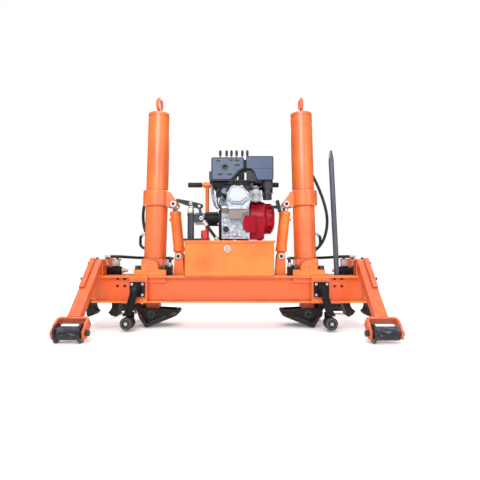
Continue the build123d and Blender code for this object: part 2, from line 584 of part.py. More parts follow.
def roller_arm():
    shape = plate_yz([on_arm(-STRAP_DOWN - 1, -ARM_HALF), on_arm(-STRAP_DOWN - 1, ARM_HALF),
                      on_arm(run, ARM_HALF), on_arm(run, -ARM_HALF)], ARM_X)
    shape += plate_yz([on_arm(STRIP_FROM, ARM_HALF), on_arm(STRIP_FROM, ARM_HALF + STRIP_PROUD),
                       on_arm(run, ARM_HALF + STRIP_PROUD), on_arm(run, ARM_HALF)],
                      (ARM_X[1] - STRIP_WIDE, ARM_X[1]))
    shape += fork()
    # Foot of the arm on the beam end
    rear_edge = -FLANGE_IN
    post = [(rear_edge, BEAM_TOP), (rear_edge, POST_TOP), (-FLANGE_OUT + 6, POST_TOP),
            (-FLANGE_OUT, POST_TOP - 12), (-FLANGE_OUT, BEAM_TOP)]
    shape += plate_yz(post, ARM_X)
    shape += rounded_block((CAP_PLATE_IN, ARM_X[1]), (-FLANGE_OUT + 6, rear_edge),
                           (POST_TOP, POST_TOP + CAP_PLATE), 8)
    return shape - round_x(AXLE_R, (FORK_X[0] - 1, FORK_X[1] + 1), -AXLE_Y, AXLE_Z)


def roller(double_flange):
    """A guide roller turned from bar, with one flange or two."""
    low, high = FORK_X[0] + FORK_PLATE + 5, FORK_X[1] - FORK_PLATE - 5
    hub, hub_r = 4.5, 18
    profile = [(low - hub, hub_r), (low, hub_r), (low, FLANGE_R - 3), (low + 3, FLANGE_R), (low + 9, FLANGE_R),
               (low + 16, TREAD_R)]
    if double_flange:
        profile += [(high - 16, TREAD_R), (high - 9, FLANGE_R), (high - 3, FLANGE_R), (high, FLANGE_R - 3)]
    else:
        profile += [(high - 3, TREAD_R), (high, TREAD_R - 3)]
    profile += [(high, hub_r), (high + hub, hub_r)]
    return turned_x(profile, -AXLE_Y, AXLE_Z) - round_x(AXLE_R, (low - 6, high + 6), -AXLE_Y, AXLE_Z)


def roller_axle():
    shape = round_x(AXLE_R - RUNNING, (FORK_X[0] - 4, FORK_X[1] + 4), -AXLE_Y, AXLE_Z)
    shape += nut_x(AXLE_NUT_R, (FORK_X[0] - AXLE_NUT, FORK_X[0]), -AXLE_Y, AXLE_Z)
    return shape + round_x(AXLE_NUT_R, (FORK_X[1], FORK_X[1] + AXLE_HEAD), -AXLE_Y, AXLE_Z)


save("roller_arms", *[placed(roller_arm(), side, end) for end, side in CORNERS])
save("roller_axles", *[placed(roller_axle(), side, end) for end, side in CORNERS])
for end, side in CORNERS:
    save("roller_" + END_NAME[end] + "_" + SIDE_NAME[side], placed(roller(side == LEFT), side, end))

# Transfer wheels, which run along X when the machine is pushed off the track
PLATE_Y = (-PAD_Y - PLATE_THICK, -PAD_Y)
WHEEL_X, WHEEL_Z, WHEEL_R = 555, 46, 35
WHEEL_Y = (-240, -168)
HUB_R, HUB_DEEP = 20, 6
STEM_Y, STEM_R, STEM_BEND = -205, 21, 28
STEM_TOP, STEM_LOW = 234, 92
YOKE_HALF, YOKE_PLATE, YOKE_TOP = 22, 15, 100
WHEEL_AXLE, WHEEL_AXLE_END = 10, 246


def transfer_arm():
    shape = block((PLATE_X - PLATE_HALF, PLATE_X + PLATE_HALF), PLATE_Y, (PLATE_Z - PLATE_HALF, PLATE_Z + PLATE_HALF))
    shape += pipe([(PLATE_X, PLATE_Y[0], STEM_TOP), (PLATE_X, STEM_Y, STEM_TOP - 8), (WHEEL_X, STEM_Y, STEM_LOW)],
                  [STEM_BEND], STEM_R)
    inner = WHEEL_Y[1] + 5
    yoke_x = (WHEEL_X - YOKE_HALF, WHEEL_X + YOKE_HALF)
    shape += block(yoke_x, (STEM_Y - STEM_R - 2, inner + YOKE_PLATE), (YOKE_TOP - 14, YOKE_TOP))
    shape += block(yoke_x, (inner, inner + YOKE_PLATE), (WHEEL_Z, YOKE_TOP))
    shape += round_y(YOKE_HALF, WHEEL_X, (inner, inner + YOKE_PLATE), WHEEL_Z)
    shape += round_y(WHEEL_AXLE, WHEEL_X, (-WHEEL_AXLE_END, inner), WHEEL_Z)
    return shape + round_y(HUB_R - 5, WHEEL_X, (-WHEEL_AXLE_END, WHEEL_Y[0] - 1), WHEEL_Z)


def transfer_wheel():
    """A wheel with a rounded rubber tread and a sunk hub face."""
    low, high = WHEEL_Y
    profile = [(low + HUB_DEEP, HUB_R), (low, HUB_R + 3), (low, WHEEL_R - 6), (low + 2, WHEEL_R - 2),
               (low + 6, WHEEL_R), (high - 6, WHEEL_R), (high - 2, WHEEL_R - 2), (high, WHEEL_R - 6)]
    shape = turned_y(profile, WHEEL_X, WHEEL_Z)
    return shape - round_y(WHEEL_AXLE + RUNNING, WHEEL_X, (low - 1, high + 1), WHEEL_Z)


save("transfer_arms", *[placed(transfer_arm(), side, end) for end, side in CORNERS])
for end, side in CORNERS:
    save("transfer_wheel_" + END_NAME[end] + "_" + SIDE_NAME[side], placed(transfer_wheel(), side, end))

# Oil tank and what stands on it
TANK_X, TANK_Y = 254, 150
TANK_TOP, LID_THICK = 488, 12
LID_TOP = TANK_TOP + LID_THICK
LID_OVER, TANK_CORNER = 7, 10
save("oil_tank", rounded_block((-TANK_X, TANK_X), (-TANK_Y, TANK_Y), (BEAM_TOP, TANK_TOP), TANK_CORNER))
save("tank_lid", rounded_block((-TANK_X - LID_OVER, TANK_X + LID_OVER), (-TANK_Y - LID_OVER, TANK_Y + LID_OVER),
                               (TANK_TOP, LID_TOP), TANK_CORNER + 4))
PLUG_X, PLUG_Z, PLUG_R = -11, 453, 20
save("sight_plug", turned_y([(-TANK_Y - 12, 9), (-TANK_Y - 9, 12), (-TANK_Y - 7, 12), (-TANK_Y - 7, PLUG_R),
                             (-TANK_Y, PLUG_R)], PLUG_X, PLUG_Z))
FILLER_X, FILLER_Y, FILLER_R, FILLER_TOP = -144, -105, 21, 560
save("filler_cap", turned_z([(LID_TOP, 16), (LID_TOP + 12, 16), (LID_TOP + 12, FILLER_R), (FILLER_TOP - 4, FILLER_R),
                             (FILLER_TOP, FILLER_R - 4)], FILLER_X, FILLER_Y))

# Engine on rubber pads, its crankshaft along X, its cylinder leaning to the front
CRANK_Y, CRANK_Z = 0, 636
MOUNT_TOP = LID_TOP + 12
CASE_X = (-46, 112)
CASE_Y = (-95, 105)
CASE_TOP = 700
HEAD_X, HEAD_Y = (-16, 116), (-140, 20)
MUFFLER_LOW, MUFFLER_HIGH = 846, 982
MUFFLER_X, MUFFLER_Y = (-106, 84), (-125, -12)
CLEANER_X, CLEANER_Y = (95, 253), (-125, 30)
FINS, FIN_PITCH, FIN_THICK, FIN_DEEP = 7, 15, 6, 9
# pad's low and high x
PADS = [(-34, 17), (42, 112)]
FAN_X, FAN_SEAT_R = (118, 214), 80
mounts = [block(x, (y - 20, y + 20), (LID_TOP, MOUNT_TOP)) for x in PADS for y in (-72, 82)]
save("engine_mounts", *mounts)


def cylinder_head():
    """The cylinder and its head, with cooling fins across the cylinder's axis."""
    low, high = 702, MUFFLER_LOW
    shape = block((HEAD_X[0] + FIN_DEEP, HEAD_X[1] - FIN_DEEP), HEAD_Y, (low - 20, high))
    for number in range(FINS):
        y = HEAD_Y[0] + 6 + number * FIN_PITCH
        shape += rounded_xz([(HEAD_X[0], low), (HEAD_X[1], low), (HEAD_X[1], high - FIN_DEEP),
                             (HEAD_X[0], high - FIN_DEEP)], 12, (y, y + FIN_THICK))
    return shape


def engine_block():
    case = plate_yz([(CASE_Y[0], MOUNT_TOP), (CASE_Y[1], MOUNT_TOP), (CASE_Y[1], 640), (80, CASE_TOP),
                     (HEAD_Y[0] + 18, CASE_TOP), (HEAD_Y[0] + 18, 688), (CASE_Y[0], 656)], CASE_X)
    case += round_x(FAN_SEAT_R, (CASE_X[1] - 2, FAN_X[0]), CRANK_Y, CRANK_Z)
    case += cylinder_head()
    # Cover on the front of the cylinder foot, and the ledge above it
    cover = [(-2, 626), (68, 626), (76, 656), (CASE_X[1], 664), (CASE_X[1], 692), (-2, 692)]
    case += rounded_xz(cover, 4, (HEAD_Y[0] + 8, CASE_Y[0] + 10))
    case += block((-2, CASE_X[1]), HEAD_Y, (690, 702))
    # Oil drain boss and side cover ring on the crankcase
    case += round_y(16, -20, (CASE_Y[0] - 12, CASE_Y[0]), 566)
    case += round_y(11, 30, (CASE_Y[0] - 9, CASE_Y[0]), 536)
    # Curved guard strip from the muffler's underside down to the crankcase
    guard = [(-100, -52, MUFFLER_LOW), (-100, -52, 790), (-70, -52, 712), (CASE_X[0] + 10, -52, 693)]
    path = FilletPolyline(*guard, radius=[90, 16])
    strip = Plane(origin=path @ 0, z_dir=path % 0, x_dir=(0, 1, 0)) * Rectangle(34, 7)
    case += sweep(strip, path=path)
    # Shelf for the fuel tank
    case += block((60, 117), (20, 100), (690, 800)) + block((117, 160), (36, 100), (760, 800))
    return case


save("engine_block", engine_block())
COVER_OUT, COVER_STEP = 165, 9
COVER = [(-13, 739), (14, 711), (74, 711), (111, 741), (111, 768), (70, 811), (12, 811), (-13, 768)]
COVER_TOP = [(-2, 744), (20, 722), (66, 722), (99, 747), (99, 764), (66, 800), (18, 800), (-2, 764)]
save("valve_cover", rounded_xz(COVER, 10, (-COVER_OUT + COVER_STEP, HEAD_Y[0]))
     + rounded_xz(COVER_TOP, 10, (-COVER_OUT, -COVER_OUT + COVER_STEP)))


def muffler():
    """A pressed box with its lower inner corner cut away, and a guard plate at the outlet."""
    low_x, high_x = MUFFLER_X
    outline = [(low_x, MUFFLER_HIGH), (high_x, MUFFLER_HIGH), (high_x, 916), (58, 904), (9, MUFFLER_LOW),
               (low_x, MUFFLER_LOW)]
    face = [(low_x + 7, MUFFLER_HIGH - 7), (high_x - 7, MUFFLER_HIGH - 7), (high_x - 7, 920), (52, 908),
            (6, MUFFLER_LOW + 7), (low_x + 7, MUFFLER_LOW + 7)]
    front, back = MUFFLER_Y
    shape = rounded_xz(outline, 10, (front + 6, back)) + rounded_xz(face, 8, (front, front + 6))
    shape += rounded_xz([(low_x - 14, 856), (low_x - 14, 906), (low_x + 8, 906), (low_x + 8, 856)], 6, (-96, -50))
    outlet_x, outlet_z = -26, 924
    plate = [(outlet_x - 24, outlet_z), (outlet_x, outlet_z - 22), (outlet_x + 24, outlet_z), (outlet_x, outlet_z + 22)]
    shape += rounded_xz(plate, 6, (front - 3, front))
    shape -= round_y(12, outlet_x, (front - 4, front + 14), outlet_z)
    # slot's centre x, centre z and width
    for slot_x, slot_z, wide in [(-63, 959, 22), (9, 962, 16), (44, 962, 26), (44, 934, 30), (-54, 881, 26),
                                 (1, 881, 26)]:
        shape -= block((slot_x - wide / 2, slot_x + wide / 2), (front - 1, front + 4), (slot_z - 4, slot_z + 4))
    return shape


save("muffler", muffler())
elbow = plate_xz([(50, MUFFLER_LOW), (86, MUFFLER_LOW), (86, 914), (68, 906), (60, 900), (50, 888)], (-104, -46))
# The bracket behind the elbow that ties the muffler to the air cleaner
BRACKET_Y, BRACKET_Z = (-92, -46), (908, MUFFLER_HIGH - 8)
save("exhaust_elbow", elbow + block((MUFFLER_X[1], CLEANER_X[0]), BRACKET_Y, BRACKET_Z))

CLEANER_LOW, CLEANER_HIGH = 851, 988
INTAKE_X, INTAKE_Y = 219, -88


def air_cleaner():
    """The air cleaner's shell with its undercut corner, the base behind it and the intake below."""
    low_x, high_x = CLEANER_X
    outline = [(low_x, CLEANER_HIGH), (high_x, CLEANER_HIGH), (high_x, CLEANER_LOW), (160, CLEANER_LOW), (142, 900),
               (124, 916), (low_x, 916)]
    front, back = CLEANER_Y
    shape = rounded_xz(outline, 9, (front, back))
    base = [(102, 916), (high_x - 5, 916), (high_x - 5, MUFFLER_LOW), (102, MUFFLER_LOW)]
    shape += rounded_xz(base, 6, (front + 24, back - 10))
    return shape + turned_z([(740, 26), (772, 26), (776, 22), (788, 20), (800, 21), (820, 31), (MUFFLER_LOW, 33)],
                            INTAKE_X, INTAKE_Y)


save("air_cleaner", air_cleaner())
save("fuel_tank", rounded_block((112, 262), (40, 122), (800, 965), 14))


def fan_cover():
    """The round shroud round the fan, its foot, and the scoop over the crankcase's corner."""
    low, high = FAN_X
    shape = turned_x([(low, 96), (low + 6, 102), (high - 16, 102), (high - 4, 95), (high, 86)], CRANK_Y, CRANK_Z)
    shape += block((low, high - 14), (-98, 95), (MOUNT_TOP, CRANK_Z))
    scoop = [(150, 650), (88, 644), (77, 612), (80, 570), (96, 556), (150, 540)]
    return shape + rounded_xz(scoop, 8, (-114, CASE_Y[0] - 1))


RECOIL_X, RECOIL_R, RECOIL_SLOTS = (FAN_X[1], 264), 92, 14


def recoil_starter():
    """The starter's dished cover with a ring of cooling slots round its rim."""
    low, high = RECOIL_X
    shape = turned_x([(low, RECOIL_R), (high - 22, RECOIL_R), (high - 10, RECOIL_R - 12), (high, RECOIL_R - 34),
                      (high - 4, RECOIL_R - 62)], CRANK_Y, CRANK_Z)
    slot = block((low + 10, high - 18), (-8, 8), (RECOIL_R - 8, RECOIL_R + 2))
    for number in range(RECOIL_SLOTS):
        shape -= Pos(0, CRANK_Y, CRANK_Z) * Rot(number * 360 / RECOIL_SLOTS, 0, 0) * slot
    return shape


save("fan_cover", fan_cover())
recoil = recoil_starter()
save("recoil_starter", recoil)
GRIP_Y, NECK_Y = (-RECOIL_R, 26 - RECOIL_R), (18 - RECOIL_R, 30 - RECOIL_R)
neck = block((246, 284), NECK_Y, (690, 708)) - recoil
handle = turned(rounded_xz([(275, 668), (295, 668), (295, 738), (275, 738)], 5, GRIP_Y), 285, 703, -14)
save("recoil_grip", neck + handle)
carburettor = rounded_xz([(116, 731), (180, 731), (188, 748), (188, 792), (116, 792)], 6, (-112, -45))
carburettor += round_y(19, 150, (-104, -50), 801)
save("carburettor", carburettor)

# Hydraulic pump on the crankshaft's other end, on a flange plate
ADAPTER_X, ADAPTER_R = (-151, -60), 44
FLANGE_PLATE_X = (-64, CASE_X[0])
adapter = turned_x([(ADAPTER_X[0], ADAPTER_R - 12), (ADAPTER_X[0] + 4, ADAPTER_R - 5), (ADAPTER_X[0] + 14, ADAPTER_R),
                    (ADAPTER_X[1], ADAPTER_R)], CRANK_Y, CRANK_Z)
adapter += plate_yz([(-70, LID_TOP + 4), (70, LID_TOP + 4), (82, 600), (60, 684), (-60, 684), (-82, 600)],
                    FLANGE_PLATE_X)
save("pump_adapter", adapter)
PUMP_HALF = 34
save("gear_pump", block((-208, ADAPTER_X[0]), (-PUMP_HALF, PUMP_HALF), (CRANK_Z - PUMP_HALF, CRANK_Z + PUMP_HALF))
     + round_x(16, (-222, -208), CRANK_Y, CRANK_Z))

# Hand pump: a piston in an upright tube, worked by a lever on a link
HAND_X, HAND_Y, HAND_R = -223, -112, 19
HAND_TUBE_TOP, HAND_ROD_TOP = 656, 720
LINK_LOW, LINK_HIGH = (-160, 628), (-172, 697)
LEVER_Y = (HAND_Y - 12, HAND_Y + 12)
# Way that the pump's hose leaves it, and how long its ferrule and the whole run to the lid are
PUMP_HOSE_WAY = Vector(77, 0, -106).normalized()
PUMP_FERRULE = 52
PUMP_RUN = (LINK_LOW[1] - LID_TOP) / -PUMP_HOSE_WAY.Z


def hand_pump():
    shape = rounded_block((HAND_X - 40, HAND_X + 60), (HAND_Y - 32, HAND_Y + 32), (LID_TOP, LID_TOP + 12), 8)
    shape += turned_z([(LID_TOP + 12, HAND_R), (HAND_TUBE_TOP - 10, HAND_R), (HAND_TUBE_TOP - 10, HAND_R + 3),
                       (HAND_TUBE_TOP, HAND_R + 3)], HAND_X, HAND_Y)
    shape += block((HAND_X, LINK_LOW[0]), (HAND_Y - 8, HAND_Y + 8), (604, 652))
    shape += round_y(16, LINK_LOW[0], (HAND_Y - 8, HAND_Y + 8), LINK_LOW[1])
    link_y = (HAND_Y - 26, HAND_Y - 14)
    link = [(LINK_LOW[0] + 8, LINK_LOW[1]), (LINK_HIGH[0] + 8, LINK_HIGH[1]), (LINK_HIGH[0] - 8, LINK_HIGH[1]),
            (LINK_LOW[0] - 8, LINK_LOW[1])]
    shape += plate_xz(link, link_y)
    for x, z in (LINK_LOW, LINK_HIGH):
        shape += round_y(9, x, link_y, z)
    shape += round_y(5, LINK_LOW[0], (link_y[0], HAND_Y), LINK_LOW[1])
    ferrule = Plane(origin=(LINK_LOW[0], HAND_Y, LINK_LOW[1]), z_dir=PUMP_HOSE_WAY)
    return shape + extrude(ferrule * Circle(FERRULE_R - 1), PUMP_FERRULE)


def hand_pump_lever():
    """A tapered bar with a fork over the piston rod's eye, and the rod itself."""
    bar = [(-306, 724), (-306, 742), (-236, 730), (-160, 712), (-150, 702), (-158, 688), (-180, 684), (-236, 700)]
    shape = rounded_xz(bar, 4, LEVER_Y)
    return shape + round_z(12, HAND_X, HAND_Y, (HAND_TUBE_TOP, HAND_ROD_TOP))


save("hand_pump", hand_pump())
save("hand_pump_lever", hand_pump_lever())

# Valve block on two legs, with six levers
VALVE_X, VALVE_Y, VALVE_Z = (-95, 130), (130, 200), (790, 850)
VALVE_LEGS = [(-70, -56), (91, 105)]
LEVER_PITCH, LEVER_FIRST, LEVER_ROW = 35, -70, 176
LEVER_R, LEVER_TOP, KNOB_R, KNOB = 5, 1101, 9, 40
# How far each lever's top stands to the right of its foot
LEVER_BENDS = [1, 8, 4, 2, 5, 2]
valves = block(VALVE_X, VALVE_Y, VALVE_Z)
for leg in VALVE_LEGS:
    valves += block(leg, (135, 165), (LID_TOP, VALVE_Z[0]))
for number in range(len(LEVER_BENDS)):
    x = LEVER_FIRST + number * LEVER_PITCH
    valves += block((x - 13, x + 13), (VALVE_Y[0] - 8, VALVE_Y[1] + 8), (VALVE_Z[0] + 8, VALVE_Z[1] - 8))
save("valve_block", valves)
levers = []
for number, bend in enumerate(LEVER_BENDS):
    x = LEVER_FIRST + number * LEVER_PITCH
    foot_z = VALVE_Z[1] + 6
    profile = [(foot_z, LEVER_R), (LEVER_TOP - KNOB, LEVER_R), (LEVER_TOP - KNOB + 6, KNOB_R - 1),
               (LEVER_TOP - 12, KNOB_R), (LEVER_TOP - 2, KNOB_R - 3), (LEVER_TOP, KNOB_R - 6)]
    lever = turned_z([(VALVE_Z[1], 9), (VALVE_Z[1] + 12, 9)], x, LEVER_ROW)
    lean = math.degrees(math.atan2(bend, LEVER_TOP - VALVE_Z[1]))
    levers.append(lever + turned(turned_z(profile, x, LEVER_ROW), x, foot_z, lean))
save("valve_levers", *levers)

# Handle frame: a bar across two posts, clamped in knuckles, with a grip on each end
HANDLE_Y, HANDLE_Z, HANDLE_R = 150, 868, 12
HANDLE_X = (-272, 305)
HANDLE_POSTS = [-151, 184]
GRIP_R, GRIP_LONG = 16, 88
KNUCKLE_HALF = 24
frame = round_x(HANDLE_R, HANDLE_X, HANDLE_Y, HANDLE_Z)
for x in HANDLE_POSTS:
    frame += round_z(HANDLE_R, x, HANDLE_Y, (LID_TOP, HANDLE_Z))
    frame += round_x(HANDLE_R + 8, (x - KNUCKLE_HALF, x + KNUCKLE_HALF), HANDLE_Y, HANDLE_Z)
    frame += round_z(HANDLE_R + 5, x, HANDLE_Y, (LID_TOP, LID_TOP + 30))
save("handle_frame", frame)
grips = []
for x in ((HANDLE_X[0] - 2, HANDLE_X[0] + GRIP_LONG), (HANDLE_X[1] - GRIP_LONG, HANDLE_X[1] + 2)):
    sleeve = turned_x([(x[0], GRIP_R - 2), (x[0] + 2, GRIP_R), (x[1] - 2, GRIP_R), (x[1], GRIP_R - 2)],
                      HANDLE_Y, HANDLE_Z)
    grips.append(sleeve - round_x(HANDLE_R + SEAT, (x[0] - 1, x[1] + 1), HANDLE_Y, HANDLE_Z))
save("hand_grips", *grips)

# Pry bar, drawn upright and leant inwards about the middle of its socket
BAR_DROP = BAR_R * math.sin(math.radians(BAR_LEAN))
SOCKET_MID = (BAR_LOW + BEAM_TOP) / 2
BAR_TIP, BAR_TIP_HALF = 60, 5
bar = round_z(BAR_R, BAR_X, BAR_Y, (BAR_LOW + BAR_DROP, BAR_TOP))
tip = plate_xz([(BAR_X - BAR_R - 1, BAR_TOP + 1), (BAR_X - BAR_R - 1, BAR_TOP - BAR_TIP), (BAR_X - BAR_R, BAR_TOP - BAR_TIP),
                (BAR_X - BAR_TIP_HALF, BAR_TOP + 1)], (BAR_Y - BAR_R - 1, BAR_Y + BAR_R + 1))
bar -= tip
bar -= Pos(2 * BAR_X, 0, 0) * mirror(tip, about=Plane.YZ)
save("pry_bar", turned(bar, BAR_X, SOCKET_MID, -BAR_LEAN))

# Hoses held by the frame: from each clamp cylinder to its port block, and from the hand pump to the tank
CLAMP_HOSE_R = 9
feed_x, feed_y = sum(FEED_X) / 2, sum(FEED_Y) / 2
CLAMP_ROUTE = [(FERRULE_END, 0, ELBOW_Z), (668, 0, ELBOW_Z), (584, 96, 402), (512, 150, 399), (424, 154, 399),
               (370, 108, 399), (354, 44, 397), (352, -30, 394), (feed_x, feed_y, 390),
               (feed_x, feed_y, FEED_HIGH + FEED_FERRULE)]
CLAMP_BENDS = [60, 90, 80, 60, 60, 90, 60, 14]
PUMP_MOUTH = Vector(LINK_LOW[0], HAND_Y, LINK_LOW[1]) + PUMP_HOSE_WAY * PUMP_FERRULE
PUMP_HOSE_LONG = PUMP_RUN - PUMP_FERRULE - 24
hoses = [placed(pipe(CLAMP_ROUTE, CLAMP_BENDS, CLAMP_HOSE_R), side) for side in (LEFT, RIGHT)]
hoses.append(extrude(Plane(origin=PUMP_MOUTH, z_dir=PUMP_HOSE_WAY) * Circle(CLAMP_HOSE_R), PUMP_HOSE_LONG))
save("base_hoses", *hoses)
for side in (LEFT, RIGHT):
    fittings.append(placed(round_z(FERRULE_R, feed_x, feed_y, (FEED_HIGH, FEED_HIGH + FEED_FERRULE)), side))
lid_ferrule = Plane(origin=PUMP_MOUTH + PUMP_HOSE_WAY * PUMP_HOSE_LONG, z_dir=PUMP_HOSE_WAY)
fittings.append(extrude(lid_ferrule * Circle(FERRULE_R), 40)
                - block((-300, 300), (-TANK_Y, TANK_Y), (BEAM_TOP, LID_TOP)))
save("clamp_fittings", *fittings)
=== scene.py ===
import math
import bmesh
import bpy
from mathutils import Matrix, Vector


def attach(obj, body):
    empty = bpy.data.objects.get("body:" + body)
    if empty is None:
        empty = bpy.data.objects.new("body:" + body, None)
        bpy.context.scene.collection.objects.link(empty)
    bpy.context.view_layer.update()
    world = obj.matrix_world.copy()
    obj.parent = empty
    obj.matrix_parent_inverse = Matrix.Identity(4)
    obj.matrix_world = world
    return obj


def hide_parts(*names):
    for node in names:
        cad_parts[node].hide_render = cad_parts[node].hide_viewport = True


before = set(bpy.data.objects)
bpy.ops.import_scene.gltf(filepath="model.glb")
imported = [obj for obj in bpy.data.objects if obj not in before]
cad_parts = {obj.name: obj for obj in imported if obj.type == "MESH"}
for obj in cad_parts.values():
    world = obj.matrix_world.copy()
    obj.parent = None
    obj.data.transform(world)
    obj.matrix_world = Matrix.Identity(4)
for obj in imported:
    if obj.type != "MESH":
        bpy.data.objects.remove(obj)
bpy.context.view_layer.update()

# Sizes below are in millimetres unless a name says otherwise; MM turns them into metres.
MM = 0.001
LEFT, RIGHT = -1, 1
FRONT, REAR = -1, 1
SIDES = [(LEFT, "left"), (RIGHT, "right")]
CORNERS = [(end, side) for end in (FRONT, REAR) for side in (LEFT, RIGHT)]
UP, FORWARD = (0, 0, 1), (0, FRONT, 0)

# Places that several pieces share
LIFT_X, TRUNNION_Z, LIFT_LEAN = 452, 349, math.radians(1.35)
WHEEL_X, WHEEL_Z = 555, 46
BEAM_TOP, WEB_FACE, POST_FACE = 301, 105, 135
HAND_X, HAND_Y = -223, -112

# Camera at the place that fits the photograph, with its angles in radians
CAMERA_M = (0.0694, -2.4227, 0.4153)
PITCH, YAW = 0.0385, 0.004
FOCAL_PX, FRAME_PX, SENSOR = 402.54, 480, 36.0
camera_data = bpy.data.cameras.new("camera")
camera_data.sensor_fit = "HORIZONTAL"
camera_data.sensor_width = SENSOR
camera_data.lens = FOCAL_PX / FRAME_PX * SENSOR
camera = bpy.data.objects.new("camera", camera_data)
camera.location = CAMERA_M
camera.rotation_euler = (math.pi / 2 + PITCH, 0, YAW)
bpy.context.collection.objects.link(camera)
bpy.context.scene.camera = camera
bpy.context.scene.view_settings.view_transform = "Standard"

# A mix node's sockets by number: its factor, those that mix colours and those that mix numbers
FACTOR = 0
COLOUR_A, COLOUR_B, COLOUR_OUT = 6, 7, 2
NUMBER_A, NUMBER_B, NUMBER_OUT = 2, 3, 0


def map_range(tree, value, low, high, to_low, to_high):
    """A value from low to high, spread over another range and clamped."""
    node = tree.nodes.new("ShaderNodeMapRange")
    sockets = ("From Min", "From Max", "To Min", "To Max")
    for socket, number in zip(sockets, (low, high, to_low, to_high)):
        node.inputs[socket].default_value = number
    tree.links.new(value, node.inputs["Value"])
    return node.outputs["Result"]


